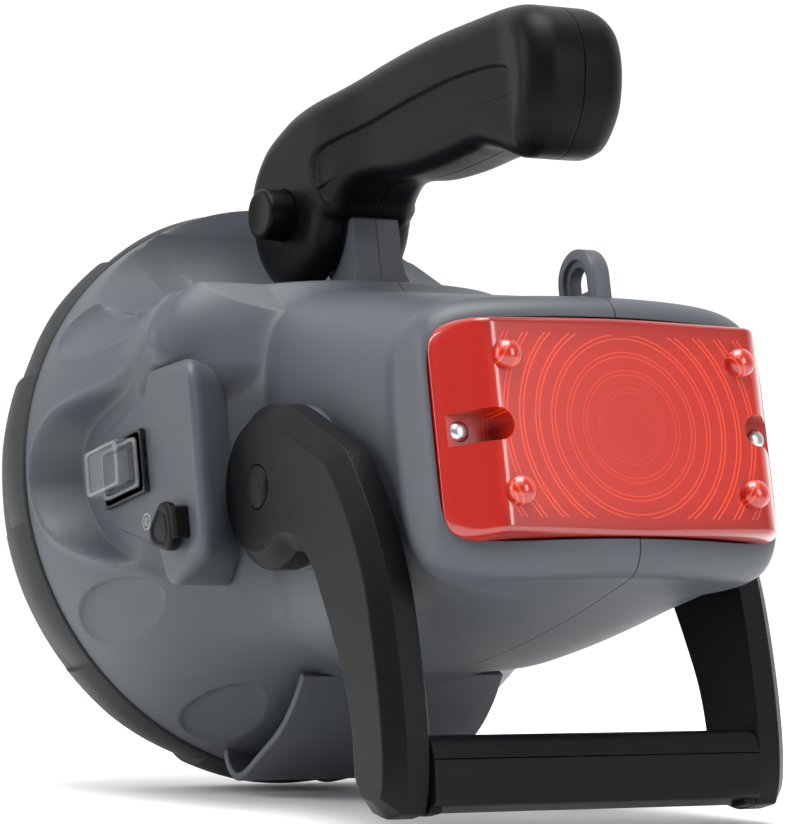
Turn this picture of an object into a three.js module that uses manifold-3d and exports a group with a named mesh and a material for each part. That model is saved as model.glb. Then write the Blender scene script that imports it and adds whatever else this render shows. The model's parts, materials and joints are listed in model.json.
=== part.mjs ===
// Handheld searchlight with a turning grip, a folding stand and a red tail lamp
// Lamp frame: X to the right, Y along the beam, Z up, on the head's axis; lengths in millimetres.
// The whole lamp then leans nose-down until its front foot and its stand touch the ground.
import * as THREE from 'three';
import { mergeVertices } from 'three/addons/utils/BufferGeometryUtils.js';
import Module from 'manifold-3d';

const wasm = await Module();
wasm.setup();

// General fits
const clearance = 0.3;
const halfSeam = 0.15;
const overrun = 6;
const smallestStep = 0.03;

// Head: a dome of revolution that ends in a round seam
const headRadius = 89.4;
const seamAlong = 192.5;
const domeDepth = 85;
const domePower = 2.3;
const housingWall = 2.6;
const ringSteps = 40;
const hollowSteps = 20;
const opticSteps = 32;
const screwSteps = 6;

// Tail: a squarish body behind the head, with a curved end
const shoulderWidth = 32.4;
const tailHalfWidth = headRadius - shoulderWidth;
const waistInset = 7.2;
const waistHalfWidth = tailHalfWidth - waistInset;
const waistStartShare = 0.078;
const waistStart = seamAlong * waistStartShare;
const waistFullShare = 0.249;
const waistFull = seamAlong * waistFullShare;
const tailTop = 14.5;
const crestDrop = 42.9;
const crestHeight = headRadius - crestDrop;
const crestSetback = 68.5;
const crestAlong = seamAlong - crestSetback;
const bellyDrop = 16.2;
const bellyDepth = headRadius - bellyDrop;
const tailTuck = 8.3;
const tailDepth = bellyDepth - tailTuck;
const bellySetback = 94.5;
const bellyAlong = seamAlong - bellySetback;
const bellyRise = 59;
const tailPower = 4;
const shoulderEnd = 10;
const rimAlong = 1.4;
const bowFade = 45;
const blendWidth = 20;

// Trough across the head for the grip's drum
const troughSink = 1.5;
const troughFloor = crestHeight - troughSink;
const troughRadius = 35;
const troughSetback = 7.5;
const troughFlat = seamAlong - troughSetback - troughRadius;
const troughLift = 0.6;

// Dimples round the dome
const dimpleLength = 36;
const dimpleWidth = 18;
const dimpleDepth = 7;
const dimpleSink = 1.9;
const dimpleSetback = 26.5;
const dimpleAlong = seamAlong - dimpleSetback;
const dimpleTurnShares = [-1 / 3, -1 / 6, 1 / 6, 1 / 3];

// Bezel with its scoops
const bezelStep = 0.8;
const bezelRearRadius = headRadius + bezelStep;
const bezelSwell = 1.3;
const bezelRadius = bezelRearRadius + bezelSwell;
const bezelTaper = 7.5;
const bezelFrontRadius = bezelRadius - bezelTaper;
const bezelLength = 29.5;
const bezelBulge = 12;
const bezelTaperStart = 15;
const bezelBrim = 5.5;
const bezelWindow = bezelFrontRadius - bezelBrim;
const bezelLip = 3.4;
const bezelWall = 3.4;
const scoopCount = 12;
const scoopDepth = 2;
const scoopLeadShare = 0.55;
const scoopFirstTurnShare = -20 / 360;

// Front lens, its seal, reflector and bulb
const lensThickness = 3;
const lensFlare = 0.4;
const lensCrown = 4;
const sealWidth = 4;
const sealThickness = 2.6;
const reflectorFocus = 32;
const reflectorWall = 1.8;
const reflectorFlange = 1.6;
const neckRadius = 10;
const neckLength = 8;
const spigotInset = 2.4;
const spigotRadius = headRadius - spigotInset;
const flangeWidth = 7;
const reflectorRim = spigotRadius - flangeWidth;
const spigotWall = 2.4;
const bulbRadius = 7.5;
const bulbLength = 38;
const bulbFlange = 2;
const bulbCapRadius = 6;
const bulbCapLength = 12;
const holderRadius = 14;
const holderThickness = 4;

// Battery, foam strip and circuit board
const batteryWidthShare = 0.703;
const batteryWidth = 2 * waistHalfWidth * batteryWidthShare;
const batteryLengthShare = 0.525;
const batteryLength = seamAlong * batteryLengthShare;
const batteryHeight = 47;
const batteryStartShare = 0.177;
const batteryStart = seamAlong * batteryStartShare;
const batteryMargin = 12.7;
const batteryBottom = batteryMargin - bellyDepth;
const cradleThickness = 2;
const cradleHeight = 24;
const cradleInset = 16;
const foamThickness = 3;
const foamWidth = 40;
const foamLength = 60;
const boardThickness = 1.6;
const boardWidth = 56;
const boardLength = 70;
const chipSize = 9;
const chipHeight = 3;
const coilRadius = 6;
const coilHeight = 8;
const terminalWidth = 6.3;
const terminalHeight = 7;
const terminalThickness = 0.8;

// Tail lens, its pegs, notches and screws
const lensFrame = 2;
const tailLensHalfWidth = tailHalfWidth - lensFrame;
const rimBowShare = 2.29;
const rimBow = tailLensHalfWidth * rimBowShare;
const lensBrow = 8.3;
const lensSill = 10.5;
const tailLensHalfHeight = (tailTop + tailDepth - lensBrow - lensSill) / 2;
const tailLensCentre = tailTop - lensBrow - tailLensHalfHeight;
const tailLensCorner = 9;
const tailLensWall = 2;
const tailLensSeat = 3;
const tailSlope = 9.5;
const tailFlatHalfWidth = tailLensHalfWidth - tailSlope;
const tailBevel = 2.3;
const tailFlatHalfHeight = tailLensHalfHeight - tailBevel;
const tailFlatProud = 0.5;
const tailEdge = 1;
const tailOpeningInset = 4;
const pegRadius = 4.15;
const pegHeight = 4.6;
const pegInset = 7.5;
const pegAcross = tailFlatHalfWidth - pegInset;
const pegSetback = 9.3;
const pegUp = tailFlatHalfHeight - pegSetback;
const notchWidth = 9;
const notchDepth = 18;
const notchInner = tailLensHalfWidth - notchDepth;
const notchFloor = 8.5;
const notchWall = 1.6;
const tailScrewInset = 6;
const tailScrewAcross = tailLensHalfWidth - tailScrewInset;
const tailBossGap = 2;
const tailSealThickness = 1.4;

// Tail lamp behind the lens
const trayInset = 11;
const trayHalfWidth = tailFlatHalfWidth - trayInset;
const boardInset = 9.6;
const tailBoardHalfWidth = tailLensHalfWidth - boardInset;
const trayMargin = 6.3;
const trayHalfHeight = tailLensHalfHeight - trayMargin;
const trayThickness = 1.4;
const trayFront = 6;
const trayRear = 12;
const tailBoardGap = 0.3;
const ledRadius = 2.4;
const ledHeight = 4;
const ledColumns = 4;
const ledRows = 3;
const ledPitchAcross = trayHalfWidth * 2 / (ledColumns + 1);
const ledPitchUp = 13;

// Screws and their bosses
const screwHeadRadius = 3.2;
const screwHeadHeight = 2.2;
const screwRadius = 1.4;
const bossRadius = 5;
const bossSeat = 28;
const bossThread = 12;
const bossMargins = [2.5, 13.5, 13.2, 6.9];
const bossHeights = [
  tailTop - bossMargins[0], crestHeight - bossMargins[1], bossMargins[2] - bellyDepth, bossMargins[3] - tailDepth,
];
const bossAlongShares = [0.177, 0.582, 0.738, 0.119];
const bossAlongs = bossAlongShares.map((share) => share * seamAlong);

// Hanging loop
const loopAlong = 15;
const loopHalfWidth = 9;
const loopRise = 15;
const loopTop = tailTop + loopRise;
const loopHole = 4.2;
const loopBand = 5.2;
const loopHoleTop = loopTop - loopBand;
const loopHalfThickness = 3;
const loopHoleRise = 2.9;
const loopHoleBottom = tailTop + loopHoleRise;

// Front foot: a curved wall under the head, open at both sides
const footHalfWidth = 34.5;
const footWall = 2.5;
const footLipSetback = 8;
const footLip = seamAlong - footLipSetback;
const footToeSetback = 18;
const footToe = seamAlong - footToeSetback;
const footKneeSetback = 44.1;
const footKnee = seamAlong - footKneeSetback;
const footRearSetback = 61.5;
const footRear = seamAlong - footRearSetback;
const footDrop = 4.2;
const footToeHeight = -headRadius - footDrop;
const footLipRise = 4.4;
const footLipHeight = footLipRise - headRadius;
const footKneeRise = 5.5;
const footKneeHeight = footKneeRise - headRadius;
const footRearRise = 19.9;
const footRearHeight = footRearRise - headRadius;

// Grip post, hub and lock
const drumRadius = 24;
const gripSetback = 44.1;
const gripAlong = seamAlong - gripSetback;
const drumClearance = 7.3;
const gripHeight = troughFloor + drumRadius + drumClearance;
const drumBand = 6;
const postHalfWidth = 8;
const postBehind = 26.2;
const postRear = gripAlong - postBehind;
const postDrop = 6.9;
const postTop = gripHeight - postDrop;
const postFlare = 8;
const postFrontTurnShare = -64 / 360;
const postFlareHeight = 9.5;
const hubInset = 7;
const hubRadius = drumRadius - hubInset;
const slotStartTurnShare = 195.5 / 360;
const slotEndTurnShare = 31 / 360;
const lockTeeth = 24;
const lockRoot = 8;
const lockTip = 9.3;
const lockLength = 12;
const lockLeft = 11.4;
const lockReach = 3.2;
const shaftRadius = 4;
const shaftRight = 26.3;
const buttonRadius = 7.8;
const buttonProud = 8.5;
const buttonTravel = 5;
const buttonEdge = 1.2;
const springRadius = 5.6;
const springWire = 0.5;
const springCurls = 4;
const springSteps = 8;
const springSides = 5;
const springPocket = 5.5;
const runningGap = 0.4;

// Grip body
const gripHalfWidth = 17;
const gripWaistHalfWidth = 15.2;
const gripEdge = 6;
const gripReach = 146.2;
const gripButt = gripAlong - gripReach;
const gripSpread = gripReach / 11.7;
const gripButtLift = 25.2;
const gripButtTop = gripHeight + gripButtLift;
const gripButtDrop = 19.3;
const gripButtBottom = gripHeight - gripButtDrop;
const gripTopLift = 30.9;
const gripTopHeight = gripHeight + gripTopLift;
const gripBottomDrop = 7.7;
const gripBottomHeight = gripHeight - gripBottomDrop;
const gripRecess = 1.4;
const gripScrewShares = [0.135, 0.41, 0.7];
const gripScrewLifts = [3.7, 10.7, 11.7];
const gripScrewDepth = 6;
const gripScrewThread = 7;

// Stand: two arms on the housing's pivots and a cross bar
const pivotShare = 0.48156;
const pivotAlong = seamAlong * pivotShare;
const pivotHeight = -21.7;
const pivotHub = 23.5;
const armSpread = 9;
const armOuter = tailHalfWidth + armSpread;
const armThickness = 12.4;
const armInner = armOuter - armThickness;
const armChamfer = 5;
const standBottom = -123.5;
const standRearShare = 0.16623;
const standRear = seamAlong * standRearShare;
const standLength = 25.5;
const standFront = standRear + standLength;
const bossGap = 1.6;
const bossFace = armInner - bossGap;
const bossDepth = 6;
const washerRadius = 16;
const boltRadius = 3;
const boltHeadRadius = 5.2;
const boltHeadDepth = 4.5;
const boltHeadHeight = 3.6;
const nutRadius = 5.6;
const nutHeight = 3.6;
const capRadius = 6.15;
const capDepth = 2.4;
const capDome = 1.5;
const standScrewShift = 1.1;
const barInset = 0.4;
const barRear = standRear - barInset;
const barLength = 20.8;
const barFront = barRear + barLength;
const barTop = -102.3;
const barSeam = -109.4;
const barCorner = 3;
const barWall = 2.2;
const barEndGap = 0.3;
const tongueLength = 9;
const standScrewAlong = (barRear + barFront) / 2 + standScrewShift;
const standScrewInset = 8.1;
const standScrewAcross = armOuter - standScrewInset;
const standScrewHead = 2.7;
const standScrewRecess = 1.2;
const standScrewLength = 12;

// Switch panel on the left side and what it carries
const panelInset = 13.4;
const panelOut = headRadius - panelInset;
const panelReach = 19;
const panelIn = panelOut - panelReach;
const panelWall = 2.3;
const panelRidge = 5;
const panelShift = 15.5;
const panelSetback = 23;
const panelFront = seamAlong - panelSetback;
const panelLength = 63.5;
const panelRear = panelFront - panelLength;
const panelTop = 21.5;
const panelFrontTop = 14.5;
const panelNeckReach = 33;
const panelNeck = panelFront - panelNeckReach;
const panelFrontBottom = -20;
const panelBottom = -44;
const panelCorner = 8;
const bowlSetback = 3.5;
const bowlFront = seamAlong - bowlSetback;
const bowlTop = 21;
const bowlBottom = -33;
const bowlInset = 0.9;
const bowlOut = headRadius - bowlInset;
const bowlCorner = 15;
const bowlLength = 49;
const bowlRear = bowlFront - bowlLength;
const switchSetback = 18.5;
const switchAlong = panelFront - switchSetback;
const switchHeight = -3.75;
const switchLength = 22;
const switchWidth = 15.1;
const switchDepth = 20;
const switchFlange = 1.6;
const switchFlangeMargin = 1.9;
const rockerLength = 17;
const rockerWidth = 10.6;
const rockerRise = 2.2;
const rockerDrop = 3.2;
const rockerPocket = 5.2;
const bootHeight = 9;
const bootWall = 1;
const bootTaper = 0.8;
const indicatorSetback = 27.7;
const indicatorAlong = panelFront - indicatorSetback;
const indicatorHeight = -21.4;
const indicatorRadius = 2;
const indicatorLength = 7;
const jackSetback = 44.3;
const jackAlong = panelFront - jackSetback;
const jackHeight = -27.2;
const jackRadius = 4.6;
const jackBore = 2.8;
const jackLength = 12;
const jackRimRadius = 6.2;
const jackRim = 1.2;
const jackPinRadius = 1;
const capLobes = 3;
const capMeanRadius = 7.1;
const capLobe = 0.7;
const capThickness = 3.4;
const capPlugLength = 5;
const strapWidth = 6;
const strapThickness = 1.6;
const strapReach = 5.2;

// Materials: colour, roughness and metalness of each finish
function finish(color, roughness, metalness = 0) {
  return new THREE.MeshStandardMaterial({ color, roughness, metalness });
}
const housingPlastic = finish(0x6a7078, 0.55);
const bezelRubber = finish(0x4b4e50, 0.7);
const gripPlastic = finish(0x2b2b2f, 0.55);
const standPlastic = finish(0x38383c, 0.6);
const capRubber = finish(0x1c1c1e, 0.75);
const redLens = finish(0xc81e10, 0.15);
const clearPlastic = finish(0xdfe4e6, 0.08);
const mirrorCoat = finish(0xd8d8da, 0.08, 1);
const steel = finish(0xb9bbbe, 0.3, 1);
const brass = finish(0xb8954a, 0.35, 1);
const ceramic = finish(0xe6e0d2, 0.6);
const batteryPlastic = finish(0x26282c, 0.5);
const foam = finish(0x3a3a3a, 0.95);
const boardGreen = finish(0x1f5a3a, 0.5);
const switchPlastic = finish(0x1a1a1c, 0.4);
const whitePlastic = finish(0xe8e8e6, 0.4);

// Solids: a geometry as a closed body for joins and cuts, and back again
function solid(geometry) {
  const bare = geometry.index ? geometry.toNonIndexed() : geometry.clone();
  bare.deleteAttribute('normal');
  bare.deleteAttribute('uv');
  const merged = mergeVertices(bare);
  return new wasm.Manifold(new wasm.Mesh({
    numProp: 3,
    vertProperties: new Float32Array(merged.attributes.position.array),
    triVerts: new Uint32Array(merged.index.array),
  }));
}

function geometryOf(body) {
  const mesh = body.simplify(smallestStep).getMesh();
  const geometry = new THREE.BufferGeometry();
  geometry.setAttribute('position', new THREE.BufferAttribute(new Float32Array(mesh.vertProperties), 3));
  geometry.setIndex(new THREE.BufferAttribute(new Uint32Array(mesh.triVerts), 1));
  const open = geometry.toNonIndexed();
  open.computeVertexNormals();
  return open;
}

function union(bodies) {
  return bodies.reduce((sum, body) => sum.add(body));
}

function without(body, cutters) {
  return cutters.reduce((rest, cutter) => rest.subtract(cutter), body);
}

// A box between two corners
function block(low, high) {
  const size = new THREE.Vector3().subVectors(high, low);
  const geometry = new THREE.BoxGeometry(size.x, size.y, size.z);
  return geometry.translate((low.x + high.x) / 2, (low.y + high.y) / 2, (low.z + high.z) / 2);
}

function point(x, y, z) {
  return new THREE.Vector3(x, y, z);
}

// A turned body round the beam axis, from [radius, along] pairs in either turning sense
function turned(profile, steps = 24) {
  const points = profile.map(([radius, along]) => new THREE.Vector2(radius, along));
  if (THREE.ShapeUtils.isClockWise(points)) points.reverse();
  return new THREE.LatheGeometry([...points, points[0]], steps);
}

// A turned body round an axis across the lamp, from [radius, outward] pairs; side is -1 on the left
function turnedAcross(profile, along, height, side = 1, steps = 24) {
  const geometry = turned(profile, steps);
  geometry.rotateZ(side > 0 ? -Math.PI / 2 : Math.PI / 2);
  return geometry.translate(0, along, height);
}

// A solid cylinder across the lamp between two places on X
function pin(radius, fromX, toX, along, height, steps = 12) {
  const geometry = new THREE.CylinderGeometry(radius, radius, toX - fromX, steps);
  geometry.rotateZ(Math.PI / 2);
  return geometry.translate((fromX + toX) / 2, along, height);
}

// An outline drawn in (along, height), given its thickness on X
const sideways = new THREE.Matrix4().makeBasis(point(0, 1, 0), point(0, 0, 1), point(1, 0, 0));
function slab(shape, fromX, toX, options = {}) {
  const settings = { depth: toX - fromX, bevelEnabled: false, curveSegments: 8, ...options };
  const geometry = new THREE.ExtrudeGeometry(shape, settings);
  return geometry.applyMatrix4(sideways).translate(fromX, 0, 0);
}

// The same with a bevel that stays inside the outline and between the two planes
function roundedSlab(shape, fromX, toX, edge, segments) {
  return slab(shape, fromX + edge, toX - edge, {
    bevelEnabled: true, bevelThickness: edge, bevelSize: edge, bevelOffset: -edge, bevelSegments: segments,
  });
}

// Points of an arc and of a smooth curve, for outlines
function arcPoints(along, height, radius, from, to, steps) {
  return Array.from({ length: steps + 1 }, (_, step) => {
    const angle = mix(from, to, step / steps);
    return new THREE.Vector2(along + radius * Math.cos(angle), height + radius * Math.sin(angle));
  });
}

function curvePoints(places, steps) {
  return new THREE.SplineCurve(places).getSpacedPoints(steps);
}

function shapeOf(pairs) {
  return new THREE.Shape(pairs.map(([u, v]) => new THREE.Vector2(u, v)));
}

// A closed skin over rings of points, each ring in the same turning sense
function loft(rings, startCentre, endCentre) {
  const count = rings[0].length;
  const flat = [startCentre, ...rings.flat(), endCentre];
  const index = [];
  const at = (ring, step) => 1 + ring * count + (step % count);
  for (let step = 0; step < count; step += 1) {
    index.push(0, at(0, step + 1), at(0, step));
    index.push(flat.length - 1, at(rings.length - 1, step), at(rings.length - 1, step + 1));
    for (let ring = 0; ring < rings.length - 1; ring += 1) {
      index.push(at(ring, step), at(ring, step + 1), at(ring + 1, step));
      index.push(at(ring, step + 1), at(ring + 1, step + 1), at(ring + 1, step));
    }
  }
  return skinOf(flat, index);
}

// The same over rings that close on themselves, without ends
function hoop(rings) {
  const count = rings[0].length;
  const index = [];
  const at = (ring, step) => (ring % rings.length) * count + (step % count);
  for (let ring = 0; ring < rings.length; ring += 1) {
    for (let step = 0; step < count; step += 1) {
      index.push(at(ring, step), at(ring, step + 1), at(ring + 1, step));
      index.push(at(ring, step + 1), at(ring + 1, step + 1), at(ring + 1, step));
    }
  }
  return skinOf(rings.flat(), index);
}

// Triangles over points, turned to face outwards
function skinOf(points, index) {
  let volume = 0;
  for (let corner = 0; corner < index.length; corner += 3) {
    const [a, b, c] = [0, 1, 2].map((turn) => points[index[corner + turn]]);
    volume += a.dot(b.clone().cross(c));
  }
  if (volume < 0) index.reverse();
  const geometry = new THREE.BufferGeometry();
  const positions = new Float32Array(points.flatMap((vertex) => [vertex.x, vertex.y, vertex.z]));
  geometry.setAttribute('position', new THREE.BufferAttribute(positions, 3));
  geometry.setIndex(index);
  return geometry;
}

function mix(from, to, share) {
  return from + (to - from) * share;
}

function clampShare(value) {
  return Math.min(Math.max(value, 0), 1);
}

// A polygon with each corner rounded: corners are [u, v, radius]
function roundedOutline(corners, steps = 3) {
  const outline = [];
  corners.forEach(([u, v, radius], place) => {
    const corner = new THREE.Vector2(u, v);
    const before = new THREE.Vector2(...corners.at(place - 1));
    const after = new THREE.Vector2(...corners[(place + 1) % corners.length]);
    const back = before.sub(corner).normalize();
    const ahead = after.sub(corner).normalize();
    const half = Math.acos(clampShare((back.dot(ahead) + 1) / 2) * 2 - 1) / 2;
    const reach = radius / Math.tan(half);
    const centre = back.clone().add(ahead).normalize().multiplyScalar(radius / Math.sin(half)).add(corner);
    const start = back.clone().multiplyScalar(reach).add(corner).sub(centre);
    const turn = (Math.PI - 2 * half) * Math.sign(ahead.cross(back));
    for (let step = 0; step <= steps; step += 1) {
      const spoke = start.clone().rotateAround(new THREE.Vector2(), turn * step / steps);
      outline.push(spoke.add(centre));
    }
  });
  return outline;
}

// The distance from a centre to an outline in a direction
function reachOf(outline, centre, angle) {
  const ray = new THREE.Vector2(Math.cos(angle), Math.sin(angle));
  let best = 0;
  outline.forEach((start, place) => {
    const edge = outline[(place + 1) % outline.length].clone().sub(start);
    const offset = start.clone().sub(centre);
    const side = ray.cross(edge);
    if (side === 0) return;
    const along = offset.cross(edge) / side;
    const share = offset.cross(ray) / side;
    if (along > 0 && share >= 0 && share <= 1) best = Math.max(best, along);
  });
  return best;
}

// Housing skin: the dome and the tail as distances from a common centre line
function domeRadius(along, wall) {
  const depth = clampShare((seamAlong - along) / domeDepth);
  return Math.max(headRadius * (1 - depth ** domePower) ** (1 / domePower) - wall, 0);
}

function tailSection(along, wall) {
  const climb = clampShare((along - shoulderEnd) / (crestAlong - shoulderEnd));
  const top = mix(tailTop, crestHeight, climb) - wall;
  const sag = 1 - clampShare((along - shoulderEnd) / (bellyAlong - shoulderEnd));
  const rise = bellyRise * clampShare((along - bellyAlong) / (seamAlong - bellyAlong)) ** 2;
  const bottom = rise - mix(bellyDepth, tailDepth, sag ** 2) + wall;
  const flare = (1 + Math.cos(Math.PI * clampShare((along - waistStart) / (waistFull - waistStart)))) / 2;
  const halfWidth = mix(waistHalfWidth, tailHalfWidth, flare) - wall;
  return { centre: (top + bottom) / 2, halfHeight: (top - bottom) / 2, halfWidth };
}

function superellipse(angle, halfWidth, halfHeight, power) {
  const across = Math.abs(Math.cos(angle)) / halfWidth;
  const up = Math.abs(Math.sin(angle)) / halfHeight;
  return (across ** power + up ** power) ** (-1 / power);
}

function smoothMaximum(first, second) {
  const overlap = Math.max(blendWidth - Math.abs(first - second), 0);
  return Math.max(first, second) + overlap ** 2 / blendWidth / 4;
}

function bowAt(across) {
  return across ** 2 / rimBow / 2;
}

function housingReach(along, angle, wall) {
  const { centre, halfHeight, halfWidth } = tailSection(along, wall);
  const tail = superellipse(angle, halfWidth, halfHeight, tailPower);
  const radius = domeRadius(along, wall);
  const offAxis = centre * Math.cos(angle);
  const inside = radius ** 2 - offAxis ** 2;
  const dome = inside > 0 ? Math.max(Math.sqrt(inside) - centre * Math.sin(angle), 0) : 0;
  return smoothMaximum(tail, dome);
}

function sectionRing(along, wall, steps = ringSteps) {
  const { centre } = tailSection(along, wall);
  return ringAngles(steps).map((angle) => {
    const reach = housingReach(along, angle, wall);
    const across = reach * Math.cos(angle);
    const fade = 1 - clampShare((along - shoulderEnd) / (bowFade - shoulderEnd));
    return point(across, along + bowAt(across) * fade, centre + reach * Math.sin(angle));
  });
}

// Ring angles turn so that a loft towards +Y faces outwards
function ringAngles(steps) {
  return Array.from({ length: steps }, (_, step) => -2 * Math.PI * step / steps);
}

// A ring of the rear end, between the lens frame and the full section
function shoulderRing(share) {
  const full = sectionRing(shoulderEnd, 0);
  const { centre } = tailSection(shoulderEnd, 0);
  const lip = housingWall / 2;
  return ringAngles(ringSteps).map((angle, place) => {
    const halfWidth = tailLensHalfWidth + lip;
    const frame = superellipse(angle, halfWidth, tailLensHalfHeight + lip, 2 * tailPower);
    const low = point(frame * Math.cos(angle), 0, tailLensCentre + frame * Math.sin(angle));
    const high = point(full[place].x, 0, full[place].z);
    const spread = Math.sin(share * Math.PI / 2);
    const ring = low.lerp(high, spread);
    const length = shoulderEnd - rimAlong;
    ring.y = shoulderEnd + bowAt(ring.x) - length * Math.cos(share * Math.PI / 2);
    return ring;
  });
}

function outerHousing() {
  const shoulderShares = [0, 0.35, 0.7];
  const shares = [
    0, 0.066, 0.132, 0.208, 0.329, 0.46, 0.526, 0.57, 0.608, 0.647, 0.69, 0.74, 0.8, 0.866, 0.937, 1,
  ];
  const alongs = shares.map((share) => mix(shoulderEnd, seamAlong, share));
  const rings = [...shoulderShares.map(shoulderRing), ...alongs.map((along) => sectionRing(along, 0))];
  return solid(loft(rings, point(0, rimAlong, tailLensCentre), point(0, seamAlong, 0)));
}

function innerHousing() {
  const shares = [0.12, 0.24, 0.5, 0.6, 0.7, 0.8, 0.9];
  const first = shoulderEnd + housingWall;
  const section = (along) => sectionRing(along, housingWall, hollowSteps);
  const rings = [first, ...shares.map((share) => mix(first, seamAlong, share)), seamAlong].map(section);
  const beyond = section(seamAlong).map((ring) => ring.clone().setY(seamAlong + overrun));
  rings.push(beyond);
  return solid(loft(rings, point(0, first, tailLensCentre), point(0, seamAlong + overrun, 0)));
}

// The trough's profile, moved inwards by a wall for the hollow below it
function troughCutter(wall) {
  const floor = troughFloor - wall;
  const centre = new THREE.Vector2(troughFlat, troughFloor + troughRadius);
  const radius = troughRadius + wall;
  const shape = new THREE.Shape();
  const lift = wall > 0 ? -wall : troughLift;
  const reach = headRadius + overrun;
  shape.moveTo(bellyAlong, mix(tailTop, crestHeight, (bellyAlong - shoulderEnd) / (crestAlong - shoulderEnd)) + lift);
  shape.lineTo(crestAlong, crestHeight + lift);
  shape.lineTo(crestAlong + troughLift, floor);
  shape.lineTo(troughFlat, floor);
  shape.absarc(centre.x, centre.y, radius, -Math.PI / 2, 0, false);
  shape.lineTo(centre.x + radius, reach);
  shape.lineTo(bellyAlong, reach);
  return solid(slab(shape, -reach, reach));
}

// Shallow ovals in the dome at even turns from the sides
function dimpleCutters() {
  const radius = domeRadius(dimpleAlong, 0) + dimpleDepth - dimpleSink;
  const lean = Math.atan2(domeRadius(dimpleAlong + dimpleSink, 0) - domeRadius(dimpleAlong, 0), dimpleSink);
  return [0, 1].flatMap((side) => dimpleTurnShares.map((share) => {
    const ball = new THREE.SphereGeometry(dimpleDepth, 12, 6);
    ball.scale(1, dimpleLength / dimpleDepth / 2, dimpleWidth / dimpleDepth / 2);
    ball.rotateZ(-lean);
    ball.translate(radius, dimpleAlong, 0);
    ball.rotateY(share * Math.PI + side * Math.PI);
    return solid(ball);
  }));
}

// Switch panel outline, seen from the side
function panelCorners() {
  return roundedOutline([
    [panelRear, panelTop, panelCorner],
    [panelRear, -panelTop - panelCorner, panelCorner],
    [panelNeck - panelRidge, panelBottom, panelRidge],
    [panelNeck, -panelTop - panelCorner, panelRidge / 2],
    [panelFront - panelRidge, panelFrontBottom, panelCorner],
    [panelFront, panelFrontTop - panelWall, panelCorner],
    [panelNeck, panelFrontTop + panelWall, panelRidge / 2],
    [panelNeck - panelWall, panelTop, panelRidge / 2],
  ]);
}

// How much of the sloping rear wall a point of the panel takes
function rearShare(along) {
  const share = clampShare((panelNeck - along) / (panelNeck - panelRear));
  return share ** 2 * (3 - 2 * share);
}

function panelRing(out, grown, ridge) {
  const outline = panelCorners();
  return outline.map((corner, place) => {
    const before = outline.at(place - 1);
    const after = outline[(place + 1) % outline.length];
    const edge = after.clone().sub(before).normalize();
    const share = rearShare(corner.x);
    const inset = ridge * (1 + share) - grown;
    const slide = panelShift * share * (panelOut - out) / (panelOut - panelIn);
    return point(-out, corner.x - edge.y * inset + slide, corner.y + edge.x * inset);
  });
}

function panelCentre(out) {
  return point(-out, (panelNeck + jackAlong) / 2, jackHeight / 2);
}

function panelBody() {
  const half = panelRidge / 2;
  const rings = [
    panelRing(panelOut, 0, half * Math.SQRT1_2),
    panelRing(panelOut - half / 4, 0, half / 4),
    panelRing(panelOut - half, 0, 0),
    panelRing(panelIn, 0, 0),
  ];
  return solid(loft(rings, panelCentre(panelOut), panelCentre(panelIn)));
}

function panelPocket() {
  const rings = [panelRing(panelOut - panelWall, -panelWall, 0), panelRing(panelIn - overrun, -panelWall, 0)];
  return solid(loft(rings, panelCentre(panelOut - panelWall), panelCentre(panelIn - overrun)));
}

function panelOpening() {
  const places = [panelOut + overrun, panelOut - panelRidge / 2, panelIn, panelIn - overrun];
  const rings = places.map((out) => panelRing(out, clearance, 0));
  return solid(loft(rings, panelCentre(panelOut + overrun), panelCentre(panelIn - overrun)));
}

// The bowl round the panel's front, cut into the dome with a sloping wall
function bowlCutter(wall) {
  const centre = new THREE.Vector2(switchAlong, switchHeight);
  const inner = panelCorners();
  const outer = roundedOutline([
    [bowlRear, bowlTop, panelRidge],
    [bowlRear, bowlBottom - panelRidge, panelRidge],
    [bowlFront, bowlBottom + panelCorner, bowlCorner],
    [bowlFront, bowlTop, bowlCorner],
  ]);
  const steps = 20;
  const ring = (out, share, grown) => Array.from({ length: steps }, (_, step) => {
    const angle = -2 * Math.PI * step / steps;
    const near = reachOf(inner, centre, angle);
    const far = Math.max(reachOf(outer, centre, angle), near);
    const reach = mix(near, far, share) + grown;
    return point(-out, centre.x + reach * Math.cos(angle), centre.y + reach * Math.sin(angle));
  });
  const floor = panelOut - wall;
  const span = bowlOut - panelOut;
  const rings = [
    ring(headRadius + overrun, 1.2, wall),
    ring(panelOut + span, 1, wall),
    ring(panelOut + span * 0.6, 0.85, wall),
    ring(panelOut + span * 0.2, 0.5, wall),
    ring(floor, 0, wall - clearance),
  ];
  return solid(loft(rings, point(-headRadius - overrun, centre.x, centre.y), point(-floor, centre.x, centre.y)));
}

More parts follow.
